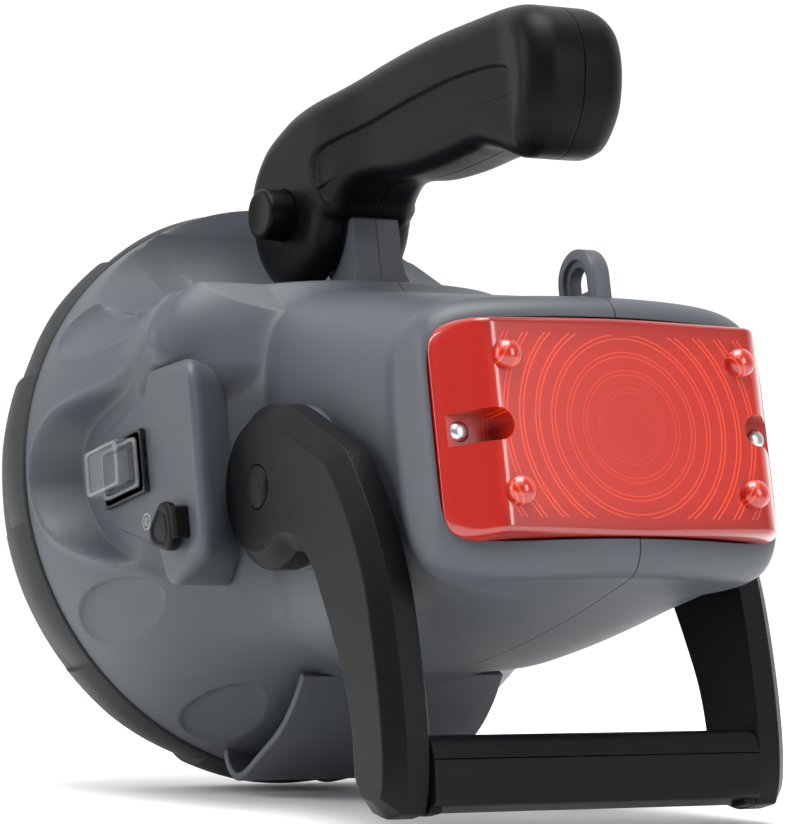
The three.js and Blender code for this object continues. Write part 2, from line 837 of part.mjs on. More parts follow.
// Grip post: a flared tongue from the trough with a hub round the grip's axis
function postBody() {
  const rings = [];
  const low = troughFloor - housingWall / 2;
  const steps = 5;
  const front = gripAlong + hubRadius * Math.SQRT1_2;
  const flareTop = troughFloor + postFlareHeight;
  for (let step = 0; step <= steps; step += 1) {
    const height = step === 0 ? low : mix(troughFloor, flareTop, (step - 1) / (steps - 1));
    const drop = clampShare((flareTop - height) / postFlareHeight);
    const flare = postFlare * (1 - Math.sqrt(1 - drop ** 2));
    const half = postHalfWidth + flare;
    const corner = [[half, postRear], [half, front], [-half, front], [-half, postRear]];
    rings.push(corner.map(([across, along]) => point(across, along, height)));
  }
  const middle = (postRear + front) / 2;
  const base = solid(loft(rings, point(0, middle, low), point(0, middle, flareTop)));
  const web = new THREE.Shape();
  web.moveTo(postRear, troughFloor);
  web.lineTo(front, troughFloor);
  const turn = postFrontTurnShare * 2 * Math.PI;
  web.lineTo(gripAlong + hubRadius * Math.cos(turn), gripHeight + hubRadius * Math.sin(turn));
  web.lineTo(gripAlong, gripHeight);
  const lean = slotStartTurnShare * 2 * Math.PI + runningGap / hubRadius * 2;
  web.lineTo(gripAlong + hubRadius * Math.cos(lean), gripHeight + hubRadius * Math.sin(lean));
  web.lineTo(gripAlong + drumRadius * Math.cos(lean), postTop);
  web.lineTo(postRear, postTop);
  const hub = pin(hubRadius, -postHalfWidth, postHalfWidth, gripAlong, gripHeight, 24);
  return union([base, solid(slab(web, -postHalfWidth, postHalfWidth)), solid(hub)]);
}

// Tooth outline of the lock, grown for the socket that it slides in
function lockShape(grown) {
  const pairs = [];
  const shares = [[0, lockRoot], [0.5, lockTip]];
  for (let tooth = 0; tooth < lockTeeth; tooth += 1) {
    shares.forEach(([share, radius]) => {
      const angle = 2 * Math.PI * (tooth + share) / lockTeeth;
      const reach = radius + grown;
      pairs.push([gripAlong + reach * Math.cos(angle), gripHeight + reach * Math.sin(angle)]);
    });
  }
  return shapeOf(pairs);
}

// Front foot: a bent strip of even wall
function footBody() {
  const curve = new THREE.SplineCurve([
    new THREE.Vector2(footRear, footRearHeight),
    new THREE.Vector2(footKnee, footKneeHeight),
    new THREE.Vector2(footToe, footToeHeight),
  ]);
  const outside = curve.getPoints(8);
  const inside = outside.map((place, index) => {
    const tangent = curve.getTangent(index / (outside.length - 1));
    return new THREE.Vector2(place.x - tangent.y * footWall, place.y + tangent.x * footWall);
  });
  const toe = new THREE.Vector2(footToe + footWall, footToeHeight);
  const lip = [
    new THREE.Vector2(footLip, footLipHeight),
    new THREE.Vector2(footLip, footLipHeight + footWall * 2),
    new THREE.Vector2(footLip - footWall, footLipHeight + footWall * 2),
  ];
  const shape = new THREE.Shape([...outside, toe, ...lip, ...inside.reverse()]);
  return solid(slab(shape, -footHalfWidth, footHalfWidth));
}

// Hanging loop at the top of the tail
function loopBody() {
  const shape = new THREE.Shape();
  const low = tailTop - housingWall;
  const archHeight = loopTop - loopHalfWidth;
  shape.moveTo(loopAlong + loopHalfWidth, low);
  shape.lineTo(loopAlong + loopHalfWidth, archHeight);
  shape.absarc(loopAlong, archHeight, loopHalfWidth, 0, Math.PI, false);
  shape.lineTo(loopAlong - loopHalfWidth, low);
  return solid(slab(shape, -loopHalfThickness, loopHalfThickness));
}

function loopHoleCutter() {
  const hole = new THREE.Shape();
  const archHeight = loopHoleTop - loopHole;
  hole.moveTo(loopAlong + loopHole, loopHoleBottom);
  hole.lineTo(loopAlong + loopHole, archHeight);
  hole.absarc(loopAlong, archHeight, loopHole, 0, Math.PI, false);
  hole.lineTo(loopAlong - loopHole, loopHoleBottom);
  return solid(slab(hole, -loopHalfThickness - overrun, loopHalfThickness + overrun));
}

// A ring of a rounded rectangle that follows the curved rear end
function frameRing(inset, depth, bowShare = 1) {
  const halfWidth = tailLensHalfWidth - inset;
  const halfHeight = tailLensHalfHeight - inset;
  return bowedRing(halfWidth, halfHeight, Math.max(tailLensCorner - inset, housingWall), depth, bowShare);
}

function bowedRing(halfWidth, halfHeight, corner, depth, bowShare) {
  const outline = roundedOutline([
    [halfWidth, halfHeight, corner],
    [halfWidth, -halfHeight, corner],
    [-halfWidth, -halfHeight, corner],
    [-halfWidth, halfHeight, corner],
  ]);
  const ring = [];
  outline.forEach((place, index) => {
    const next = outline[(index + 1) % outline.length];
    const parts = Math.abs(next.x - place.x) > halfWidth ? 8 : 1;
    for (let part = 0; part < parts; part += 1) {
      const spot = place.clone().lerp(next, part / parts);
      ring.push(point(spot.x, rimAlong * bowShare + bowAt(spot.x) * bowShare + depth, tailLensCentre + spot.y));
    }
  });
  return ring;
}

function tailOpening() {
  const rings = [
    frameRing(-clearance, -overrun),
    frameRing(-clearance, tailLensSeat + tailSealThickness),
    frameRing(tailOpeningInset, tailLensSeat + tailSealThickness),
    frameRing(tailOpeningInset, shoulderEnd + overrun),
  ];
  const deep = shoulderEnd + overrun + rimAlong;
  return solid(loft(rings, point(0, -overrun, tailLensCentre), point(0, deep, tailLensCentre)));
}

function tailScrewBosses() {
  const near = notchFloor + notchWall + tailBossGap;
  const deep = bowAt(tailLensHalfWidth) + rimAlong + tailLensSeat + tailSealThickness + clearance;
  const centre = tailLensCentre - clearance;
  const low = tailScrewAcross - screwHeadRadius;
  const spans = [[near, tailLensHalfWidth - tailOpeningInset + clearance / 2], [deep, tailHalfWidth - housingWall]];
  return [-1, 1].flatMap((side) => spans.map(([start, high]) => {
    const [left, right] = [side * low, side * high].sort((first, second) => first - second);
    return solid(block(
      point(left, start, centre - screwHeadRadius), point(right, deep + bossThread, centre + screwHeadRadius),
    ));
  }));
}

// Battery cradle: two frames under and beside the battery
function cradles() {
  const outer = tailHalfWidth;
  return [batteryStart + cradleInset, batteryStart + batteryLength - cradleInset].map((along) => solid(block(
    point(-outer, along, -bellyDepth - overrun),
    point(outer, along + cradleThickness, batteryBottom + cradleHeight),
  )));
}

function batteryBlock(grown) {
  return solid(block(
    point(-batteryWidth / 2 - grown, batteryStart - grown, batteryBottom - grown),
    point(batteryWidth / 2 + grown, batteryStart + batteryLength + grown, batteryBottom + batteryHeight + grown),
  ));
}

function caseScrewPlaces() {
  return bossAlongs.map((along, place) => [along, bossHeights[place]]);
}

function caseBosses() {
  return caseScrewPlaces().map(([along, height]) => solid(pin(bossRadius, -headRadius, headRadius, along, height)));
}

function caseBossHoles() {
  return caseScrewPlaces().flatMap(([along, height]) => [
    solid(pin(screwRadius + clearance, -bossThread - overrun, bossSeat + overrun, along, height, 12)),
    solid(pin(screwHeadRadius + clearance, bossSeat, headRadius + overrun, along, height)),
  ]);
}

function pivotBosses() {
  return [-1, 1].map((side) => solid(pin(
    pivotHub, Math.min(side * bossFace, side * (bossFace - bossDepth)),
    Math.max(side * bossFace, side * (bossFace - bossDepth)), pivotAlong, pivotHeight, 24,
  )));
}

function spigot() {
  const rear = seamAlong - housingWall;
  const front = flangeFront - reflectorFlange - clearance;
  return solid(turned([
    [spigotRadius - spigotWall, rear], [spigotRadius, rear], [spigotRadius, front],
    [spigotRadius - spigotWall, front],
  ], ringSteps));
}

// The whole housing before it is parted into two halves
function housingBody() {
  const outer = without(outerHousing(), [troughCutter(0), bowlCutter(0), ...dimpleCutters()]);
  const hollow = without(innerHousing(), [troughCutter(housingWall), bowlCutter(housingWall)]);
  const shell = outer.subtract(hollow);
  const insides = union([...caseBosses(), ...cradles()]).intersect(outer).subtract(batteryBlock(clearance));
  const foot = footBody().subtract(outer.subtract(shell));
  const outsides = [postBody(), loopBody(), foot, ...pivotBosses(), spigot()];
  const whole = union([shell, insides, ...outsides]);
  const bores = [-1, 1].map((side) => solid(pin(
    boltRadius + clearance, Math.min(side * armInner, side * (bossFace - bossDepth - overrun)),
    Math.max(side * armInner, side * (bossFace - bossDepth - overrun)), pivotAlong, pivotHeight,
  )));
  const opened = without(whole, [
    tailOpening(), loopHoleCutter(), panelOpening(), ...caseBossHoles(), ...bores,
    solid(slab(lockShape(clearance), -postHalfWidth - overrun, postHalfWidth + overrun)),
  ]);
  return without(opened.add(union(tailScrewBosses())), tailScrewHoles());
}

function tailScrewHoles() {
  return [-1, 1].map((side) => {
    const hole = new THREE.CylinderGeometry(screwRadius + clearance, screwRadius + clearance, 2 * bossThread, 12);
    return solid(hole.translate(side * tailScrewAcross, notchFloor + bossThread / 2, tailLensCentre - clearance));
  });
}

function halfOf(body, side, gap = halfSeam) {
  const reach = 2 * seamAlong;
  const low = side < 0 ? -reach : gap;
  const high = side < 0 ? -gap : reach;
  return body.intersect(solid(block(point(low, -reach, -reach), point(high, reach, reach))));
}

// Bezel: a ring whose outer face has a row of scoops
function bezel() {
  const steps = scoopCount * 4;
  const rear = seamAlong + clearance;
  const front = rear + bezelLength;
  const seat = front - bezelLip;
  const lensSeat = bezelFrontRadius + lensFlare + clearance;
  const inside = spigotRadius + clearance;
  const profile = [
    [inside, rear, 0], [bezelRearRadius, rear, 0], [bezelRadius, rear + bezelBulge / 2, 0.7],
    [bezelRadius, rear + bezelBulge, 1], [mix(bezelRadius, bezelFrontRadius, 0.3), rear + bezelTaperStart + bezelWall, 1],
    [bezelFrontRadius, front - bezelLip / 3, 0], [bezelFrontRadius - bezelLip / 2, front, 0], [bezelWindow, front, 0],
    [bezelWindow, seat, 0], [bezelFrontRadius - bezelWall, seat, 0],
    [lensSeat, seat - lensThickness, 0], [inside, seat - lensThickness - sealThickness, 0],
  ];
  return hoop(Array.from({ length: steps }, (_, step) => {
    const turn = step / steps;
    const place = ((turn - scoopFirstTurnShare) * scoopCount % 1 + 1) % 1;
    const scoop = place < scoopLeadShare ? scoopDepth * (1 - place / scoopLeadShare) : 0;
    const angle = 2 * Math.PI * turn;
    return profile.map(([radius, along, share]) => {
      const reach = radius - scoop * share;
      return point(-reach * Math.cos(angle), along, reach * Math.sin(angle));
    });
  }));
}

// Lens stack: rim planes counted back from the bezel's lip
const lensFront = seamAlong + clearance + bezelLength - bezelLip - clearance;
const lensRear = lensFront - lensThickness;
const sealRear = lensRear - clearance - sealThickness;
const flangeFront = sealRear - clearance;

function frontLens() {
  const edge = bezelFrontRadius - bezelWall - clearance;
  return turned([
    [0, lensRear + lensCrown / 2], [edge - sealWidth, lensRear], [edge, lensRear],
    [edge, lensFront - clearance], [edge - sealWidth, lensFront], [0, lensFront + lensCrown / 2],
  ], opticSteps);
}

function lensSeal() {
  const outer = bezelFrontRadius - bezelWall - clearance;
  return turned([
    [outer - sealWidth, sealRear], [outer - sealWidth, lensRear - clearance],
    [outer, lensRear - clearance], [outer, sealRear],
  ], opticSteps);
}

// Reflector: a paraboloid shell with a flange in front and a neck behind
const reflectorVertex = flangeFront - reflectorRim ** 2 / reflectorFocus / 4;
function reflector() {
  const depthAt = (radius) => reflectorVertex + radius ** 2 / reflectorFocus / 4;
  const radii = Array.from({ length: 5 }, (_, step) => mix(neckRadius, reflectorRim, (step / 4) ** 0.8));
  const inner = radii.map((radius) => [radius, depthAt(radius)]);
  const outer = radii.slice(1, -1).map((radius) => [radius, depthAt(radius) - reflectorWall]).reverse();
  const neck = reflectorVertex - neckLength + depthAt(neckRadius) - reflectorVertex;
  const flange = spigotRadius - clearance;
  return turned([
    ...inner, [flange, flangeFront], [flange, flangeFront - reflectorFlange],
    [reflectorRim, flangeFront - reflectorFlange], ...outer,
    [neckRadius + reflectorWall, depthAt(neckRadius) - reflectorWall],
    [neckRadius + reflectorWall, neck], [neckRadius, neck],
  ], opticSteps);
}

const neckRear = reflectorVertex + neckRadius ** 2 / reflectorFocus / 4 - neckLength;

function bulb() {
  const flange = neckRear + clearance;
  const glass = flange + bulbFlange;
  const tip = glass + bulbLength;
  return turned([
    [0, neckRear - bulbCapLength], [bulbCapRadius, neckRear - bulbCapLength], [bulbCapRadius, flange],
    [neckRadius - clearance, flange], [neckRadius - clearance, glass], [bulbRadius, glass],
    [bulbRadius, tip - bulbRadius], [bulbRadius * 0.8, tip - bulbRadius * 0.4], [bulbRadius * 0.4, tip],
    [0, tip],
  ], 14);
}

function bulbHolder() {
  const front = neckRear - clearance;
  const sleeve = front + holderThickness;
  const inside = neckRadius + reflectorWall + clearance;
  const bore = bulbCapRadius + clearance;
  return turned([
    [bore, front - holderThickness], [holderRadius, front - holderThickness], [holderRadius, sleeve],
    [inside, sleeve], [inside, front], [bore, front],
  ], 18);
}

// Battery with two blade terminals on its front end
function battery() {
  const top = batteryBottom + batteryHeight;
  const end = batteryStart + batteryLength;
  const blades = [-1, 1].map((side) => {
    const across = side * batteryWidth / 3;
    return solid(block(
      point(across - terminalWidth / 2, end - clearance, top - terminalHeight),
      point(across + terminalWidth / 2, end + terminalHeight, top - terminalHeight + terminalThickness),
    ));
  });
  return union([batteryBlock(0), ...blades]);
}

function onBattery(low, width, length, thickness) {
  const middle = batteryStart + batteryLength / 2;
  return block(point(-width / 2, middle - length / 2, low), point(width / 2, middle + length / 2, low + thickness));
}

const foamBottom = batteryBottom + batteryHeight + clearance;
const boardBottom = foamBottom + foamThickness + clearance;

function circuitBoard() {
  const top = boardBottom + boardThickness;
  const middle = batteryStart + batteryLength / 2;
  const chips = [-1, 0, 1].map((place) => solid(block(
    point(-chipSize, middle + place * 2 * chipSize - chipSize / 2, top - clearance),
    point(0, middle + place * 2 * chipSize + chipSize / 2, top + chipHeight),
  )));
  const choke = new THREE.CylinderGeometry(coilRadius, coilRadius, coilHeight + clearance, 16);
  choke.rotateX(Math.PI / 2);
  choke.translate(boardWidth / 4, middle, top + coilHeight / 2 - clearance / 2);
  return union([solid(onBattery(boardBottom, boardWidth, boardLength, boardThickness)), ...chips, solid(choke)]);
}

// Switch panel: a shell with a sloping rear wall and openings for what it carries
function switchPanel() {
  const cut = (along, height, radius) => solid(pin(
    radius, -panelOut - overrun, -panelOut + panelWall + overrun, along, height, 20,
  ));
  const length = switchLength / 2;
  const width = switchWidth / 2;
  return without(panelBody().subtract(panelPocket()), [
    solid(block(
      point(-panelOut - overrun, switchAlong - length, switchHeight - width),
      point(-panelOut + panelWall + overrun, switchAlong + length, switchHeight + width),
    )),
    cut(indicatorAlong, indicatorHeight, indicatorRadius + clearance / 2),
    cut(jackAlong, jackHeight, jackRadius + clearance / 2),
  ]);
}

// Switch body with its frame and the pocket that the rocker tilts in
const switchFace = panelOut + clearance + switchFlange;
function switchBody() {
  const length = switchLength / 2 - clearance;
  const width = switchWidth / 2 - clearance;
  const margin = switchFlangeMargin;
  const body = solid(block(
    point(-panelOut - clearance, switchAlong - length, switchHeight - width),
    point(-panelOut + switchDepth, switchAlong + length, switchHeight + width),
  ));
  const frame = solid(block(
    point(-switchFace, switchAlong - switchLength / 2 - margin, switchHeight - switchWidth / 2 - margin),
    point(-panelOut - clearance, switchAlong + switchLength / 2 + margin, switchHeight + switchWidth / 2 + margin),
  ));
  const pocket = solid(block(
    point(-switchFace - overrun, switchAlong - rockerLength / 2 - runningGap, switchHeight - rockerWidth / 2 - runningGap),
    point(-switchFace + rockerPocket, switchAlong + rockerLength / 2 + runningGap, switchHeight + rockerWidth / 2 + runningGap),
  ));
  return body.add(frame).subtract(pocket);
}

// Rocker: two faces that meet in a shallow valley over a rounded back
function rocker() {
  const half = rockerLength / 2;
  const reach = half - runningGap;
  const shape = new THREE.Shape();
  shape.moveTo(-half, rockerRise);
  shape.lineTo(-reach, 0);
  shape.quadraticCurveTo(0, -2 * rockerDrop, reach, 0);
  shape.lineTo(half, rockerRise);
  shape.lineTo(0, rockerRise / 2);
  const geometry = new THREE.ExtrudeGeometry(shape, { depth: rockerWidth, bevelEnabled: false, curveSegments: 6 });
  const upright = new THREE.Matrix4().makeBasis(point(0, 1, 0), point(-1, 0, 0), point(0, 0, 1));
  return geometry.applyMatrix4(upright).translate(-switchFace, switchAlong, switchHeight - rockerWidth / 2);
}

// Clear boot over the rocker: a tapered hood, open towards the switch
function bootRing(inset, out) {
  const half = switchLength / 2 - inset;
  const rise = switchWidth / 2 - inset;
  const corner = Math.max(bootWall * 2 - inset, bootWall / 2);
  return roundedOutline([
    [half, rise, corner], [half, -rise, corner], [-half, -rise, corner], [-half, rise, corner],
  ], 3).map((place) => point(-out, switchAlong + place.x, switchHeight + place.y));
}

function switchBoot() {
  const foot = switchFace + clearance;
  const top = panelOut + bootHeight;
  const outer = [
    bootRing(0, foot), bootRing(bootTaper, top - bootWall), bootRing(bootTaper + bootWall / 2, top),
  ];
  const inner = [bootRing(bootWall, foot - overrun), bootRing(bootTaper + bootWall, top - bootWall)];
  const centre = (out) => point(-out, switchAlong, switchHeight);
  const skin = solid(loft(outer, centre(foot), centre(top)));
  return skin.subtract(solid(loft(inner, centre(foot - overrun), centre(top - bootWall))));
}

function chargeIndicator() {
  const front = panelOut + indicatorRadius / 2;
  return turnedAcross([
    [0, front], [indicatorRadius * 0.6, front - indicatorRadius * 0.2], [indicatorRadius, panelOut],
    [indicatorRadius, panelOut - indicatorLength], [0, panelOut - indicatorLength],
  ], indicatorAlong, indicatorHeight, -1, 16);
}

// Charging inlet: a sleeve with a bore and a centre contact
function chargeSocket() {
  const rim = panelOut + clearance;
  const rear = panelOut - jackLength;
  return turnedAcross([
    [0, rear], [jackRadius, rear], [jackRadius, rim], [jackRimRadius, rim], [jackRimRadius, rim + jackRim],
    [jackBore, rim + jackRim], [jackBore, rim - capPlugLength - jackPinRadius],
    [jackPinRadius, rim - capPlugLength - jackPinRadius], [jackPinRadius, rim - capPlugLength],
    [0, rim - capPlugLength],
  ], jackAlong, jackHeight, -1, 20);
}

// Rubber cap: three soft lobes and a hollow plug that fits the inlet
function socketCap() {
  const under = panelOut + clearance + jackRim + clearance;
  const steps = 24;
  const pairs = Array.from({ length: steps }, (_, step) => {
    const angle = 2 * Math.PI * step / steps;
    const radius = capMeanRadius + capLobe * Math.cos(capLobes * angle);
    return [jackAlong + radius * Math.cos(angle), jackHeight + radius * Math.sin(angle)];
  });
  const disc = solid(roundedSlab(shapeOf(pairs), -under - capThickness, -under, capLobe, 2));
  const plugRadius = jackBore - clearance;
  const plug = solid(pin(plugRadius, -under - capLobe, -under + capPlugLength, jackAlong, jackHeight));
  const bore = solid(pin(
    jackPinRadius + clearance, -under, -under + capPlugLength + overrun, jackAlong, jackHeight, 12,
  ));
  return disc.add(plug).subtract(bore);
}

// Strap beside the cap, folded up from the panel
function capStrap() {
  const under = panelOut + clearance;
  const edge = jackAlong - capMeanRadius - capLobe - clearance;
  const shape = new THREE.Shape();
  shape.moveTo(edge, under);
  shape.lineTo(edge, under + strapReach);
  shape.lineTo(edge - strapThickness, under + strapReach);
  shape.lineTo(edge - 2 * strapThickness, under + strapThickness);
  shape.lineTo(edge - 2 * strapThickness, under);
  const geometry = new THREE.ExtrudeGeometry(shape, { depth: strapWidth, bevelEnabled: false });
  const upright = new THREE.Matrix4().makeBasis(point(0, 1, 0), point(-1, 0, 0), point(0, 0, 1));
  return geometry.applyMatrix4(upright).translate(0, 0, jackHeight - strapWidth / 2);
}

// Tail lens: a deep tray of even wall, with pegs and two screw notches
function notchShape(grown) {
  const shape = new THREE.Shape();
  const half = notchWidth / 2 + grown;
  const centre = notchInner + notchWidth / 2;
  shape.moveTo(tailHalfWidth + overrun, -half);
  shape.lineTo(tailHalfWidth + overrun, half);
  shape.lineTo(centre, half);
  shape.absarc(centre, 0, half, Math.PI / 2, 3 * Math.PI / 2, false);
  return shape;
}

const rearwards = new THREE.Matrix4().makeBasis(point(1, 0, 0), point(0, 0, 1), point(0, -1, 0));
function notchBody(side, grown, rear, front) {
  const options = { depth: front - rear, bevelEnabled: false, curveSegments: 6 };
  const geometry = new THREE.ExtrudeGeometry(notchShape(grown), options);
  geometry.applyMatrix4(rearwards).translate(0, front, tailLensCentre - clearance);
  if (side < 0) geometry.rotateY(Math.PI).translate(0, 0, 2 * (tailLensCentre - clearance));
  return solid(geometry);
}

function tailLensSkin(inset, seat, flat) {
  const halfWidth = tailFlatHalfWidth - inset;
  const halfHeight = tailFlatHalfHeight - inset;
  const face = bowedRing(halfWidth, halfHeight, tailLensCorner / 2, flat, 0);
  const rings = [
    frameRing(inset + 2 * tailLensWall, seat), frameRing(inset, seat), frameRing(inset, inset),
    frameRing(inset + tailEdge, inset - tailEdge), face,
  ];
  return solid(loft(rings, point(0, seat + rimAlong, tailLensCentre), point(0, flat, tailLensCentre)));
}

function tailLens() {
  const outer = tailLensSkin(0, tailLensSeat, -tailFlatProud);
  const inner = tailLensSkin(tailLensWall, tailLensSeat + overrun, tailLensWall - tailFlatProud);
  const shell = outer.subtract(inner);
  const cups = [-1, 1].map((side) => notchBody(side, notchWall, -overrun, notchFloor + notchWall).intersect(outer));
  const pockets = [-1, 1].map((side) => notchBody(side, 0, -2 * overrun, notchFloor));
  const holes = [-1, 1].map((side) => {
    const hole = new THREE.CylinderGeometry(screwRadius + clearance, screwRadius + clearance, 4 * overrun, 12);
    return solid(hole.translate(side * tailScrewAcross, notchFloor, tailLensCentre - clearance));
  });
  return without(union([shell, ...cups]), [...pockets, ...holes]).add(union(tailPegs()));
}

function tailPegs() {
  const profile = [
    [0, tailLensWall - tailFlatProud], [pegRadius, tailLensWall - tailFlatProud], [pegRadius, -pegHeight / 3],
    [pegRadius * 0.8, -pegHeight * 0.8], [pegRadius * 0.4, -pegHeight], [0, -pegHeight],
  ];
  return [-1, 1].flatMap((side) => [-1, 1].map((level) => {
    const peg = turned(profile, 10);
    return solid(peg.translate(side * pegAcross, 0, tailLensCentre + level * pegUp));
  }));
}

function tailLensSeal() {
  const near = tailLensSeat + clearance;
  const far = tailLensSeat + tailSealThickness - clearance;
  const wide = tailLensWall + clearance;
  return hoop([frameRing(clearance, near), frameRing(clearance, far), frameRing(wide, far), frameRing(wide, near)]);
}

function tailLensScrew(side) {
  const head = notchFloor - clearance;
  const screw = turned([
    [0, head - screwHeadHeight], [screwHeadRadius * 0.6, head - screwHeadHeight],
    [screwHeadRadius * 0.9, head - screwHeadHeight / 2], [screwHeadRadius * 0.9, head],
    [screwRadius, head], [screwRadius, head + bossThread], [0, head + bossThread],
  ], 10);
  return screw.translate(side * tailScrewAcross, 0, tailLensCentre - clearance);
}

// Tail lamp: a pale tray, a board behind it and a block of small lamps
function upright(halfWidth, halfHeight, rear, front) {
  return solid(block(
    point(-halfWidth, rear, tailLensCentre - halfHeight),
    point(halfWidth, front, tailLensCentre + halfHeight),
  ));
}

function ledPlaces() {
  const places = [];
  for (let column = 0; column < ledColumns; column += 1) {
    for (let row = 0; row < ledRows; row += 1) {
      places.push([
        (column - (ledColumns - 1) / 2) * ledPitchAcross,
        tailLensCentre + (row - (ledRows - 1) / 2) * ledPitchUp,
      ]);
    }
  }
  return places;
}

function ledColumn(radius, rear, front) {
  return ledPlaces().map(([across, height]) => {
    const geometry = new THREE.CylinderGeometry(radius, radius, front - rear, screwSteps);
    return geometry.translate(across, (rear + front) / 2, height);
  });
}

function tailTray() {
  const rim = upright(trayHalfWidth, trayHalfHeight, trayFront, trayRear);
  const hollow = upright(
    trayHalfWidth - trayThickness, trayHalfHeight - trayThickness, trayFront - overrun, trayRear - trayThickness,
  );
  const holes = ledColumn(ledRadius + clearance, trayFront, trayRear + overrun).map(solid);
  return without(rim.subtract(hollow), holes);
}

const tailBoardFront = trayRear + tailBoardGap;
function tailBoard() {
  const board = upright(tailBoardHalfWidth, trayHalfHeight, tailBoardFront, tailBoardFront + boardThickness);
  const front = trayRear - ledHeight;
  return union([board, ...ledColumn(ledRadius, front, tailBoardFront + boardThickness / 2).map(solid)]);
}

// Grip outline, seen from the side
function gripShape() {
  const slotTurn = slotStartTurnShare * 2 * Math.PI;
  const drum = arcPoints(gripAlong, gripHeight, drumRadius, slotTurn, 2 * Math.PI, 12);
  const spread = gripSpread;
  const back = [
    [gripAlong + drumRadius * 0.93, gripHeight + drumRadius * 0.6],
    [gripAlong + drumRadius * 0.5, gripHeight + drumRadius * 1.03],
    [gripAlong - spread, gripTopHeight],
    [gripAlong - 4.5 * spread, gripTopHeight + 0.05 * spread],
    [gripButt + 3 * spread, gripTopHeight - 0.2 * spread],
    [gripButt + spread, gripButtTop],
    [gripButt, gripButtTop - spread],
    [gripButt, gripButtTop - 2 * spread],
    [gripButt + 0.4 * spread, gripButtBottom + 0.8 * spread],
    [gripButt + 1.3 * spread, gripButtBottom],
    [gripButt + 2.1 * spread, mix(gripButtBottom, gripBottomHeight, 0.35)],
    [gripButt + 3.2 * spread, gripBottomHeight],
    [gripButt + 5.6 * spread, gripBottomHeight + 0.08 * spread],
    [gripButt + 8 * spread, gripBottomHeight + 0.5 * spread],
    [gripButt + 8.9 * spread, gripBottomHeight + 0.4 * spread],
  ].map(([along, height]) => new THREE.Vector2(along, height));
  const curve = curvePoints([drum.at(-1), ...back, drum[0]], 36);
  return new THREE.Shape([...drum, ...curve.slice(1, -1)]);
}

// Shallow recess in each side of the grip, open to the underside
function gripRecessShape() {
  const low = gripButtBottom - overrun;
  const mid = gripHeight + drumRadius * 0.6;
  const roof = [
    [gripAlong - 0.9 * drumRadius, low], [gripAlong - 1.05 * drumRadius, gripBottomHeight],
    [gripAlong - 0.9 * drumRadius, mid - gripSpread * 0.35], [gripAlong - 1.6 * drumRadius, mid - gripSpread * 0.02],
    [gripButt + 5.7 * gripSpread, mid + gripSpread * 0.02], [gripButt + 3.8 * gripSpread, mid - gripSpread * 0.05],
    [gripButt + 2.4 * gripSpread, mid - gripSpread * 0.28], [gripButt + 1.4 * gripSpread, mid - gripSpread * 0.6],
    [gripButt + 1.2 * gripSpread, mid - gripSpread], [gripButt + 1.35 * gripSpread, gripBottomHeight],
    [gripButt + 1.2 * gripSpread, low],
  ];
  return shapeOf(roof);
}

// Width of the grip along its length: full at the butt and at the drum
function gripWidthShare(along) {
  const turn = clampShare((along - gripButt) / (gripAlong - drumRadius - gripButt));
  const waist = Math.sin(Math.PI * clampShare((turn - 0.06) / 0.94)) ** 0.4;
  return mix(1, gripWaistHalfWidth / gripHalfWidth, waist);
}

function gripBody() {
  const edges = 2;
  const geometry = slab(gripShape(), -gripHalfWidth + gripEdge, gripHalfWidth - gripEdge, {
    bevelEnabled: true, bevelThickness: gripEdge, bevelSize: gripEdge, bevelOffset: -gripEdge,
    bevelSegments: edges,
  });
  const position = geometry.attributes.position;
  for (let place = 0; place < position.count; place += 1) {
    position.setX(place, position.getX(place) * gripWidthShare(position.getY(place)));
  }
  const hubPocket = drumRadius - drumBand;
  const slot = new THREE.Shape();
  const far = drumRadius + overrun;
  slot.moveTo(gripAlong, gripHeight);
  slot.absarc(gripAlong, gripHeight, far, slotStartTurnShare * 2 * Math.PI, (1 + slotEndTurnShare) * 2 * Math.PI, false);
  const cheek = postHalfWidth + runningGap;
  const side = gripHalfWidth;
  const recessDepth = gripWaistHalfWidth - gripRecess;
  return without(solid(geometry), [
    solid(slab(gripRecessShape(), recessDepth, side + overrun)),
    solid(slab(gripRecessShape(), -side - overrun, -recessDepth)),
    solid(pin(hubPocket, -cheek, cheek, gripAlong, gripHeight, 24)),
    solid(slab(slot, -cheek, cheek)),
    solid(pin(buttonRadius + clearance, -side - overrun, -cheek - lockReach - clearance, gripAlong, gripHeight, 18)),
    solid(slab(lockShape(clearance), -cheek - lockReach - overrun, -cheek + overrun)),
    solid(pin(shaftRadius + clearance, -cheek, side + overrun, gripAlong, gripHeight)),
    solid(pin(springRadius + 3 * springWire, cheek - overrun, cheek + springPocket, gripAlong, gripHeight)),
    ...gripScrewHoles(),
  ]);
}

function gripScrewPlaces() {
  return gripScrewShares.map((share, place) => [gripButt + share * gripReach, gripHeight + gripScrewLifts[place]]);
}

function gripScrewHoles() {
  return gripScrewPlaces().flatMap(([along, height]) => [
    solid(pin(screwRadius + clearance, -gripScrewThread - clearance, gripHalfWidth, along, height, 10)),
    solid(pin(screwHeadRadius, gripScrewDepth, gripHalfWidth + overrun, along, height, 14)),
  ]);
}

function crossScrew(seat, thread, along, height, headRadius) {
  return turnedAcross([
    [0, -thread], [screwRadius, -thread], [screwRadius, seat], [headRadius, seat],
    [headRadius, seat + screwHeadHeight], [0, seat + screwHeadHeight],
  ], along, height, 1, screwSteps);
}

function gripScrew([along, height]) {
  return crossScrew(gripScrewDepth + clearance, gripScrewThread, along, height, screwHeadRadius - clearance);
}

function caseScrew([along, height]) {
  return crossScrew(bossSeat + clearance, bossThread, along, height, screwHeadRadius);
}

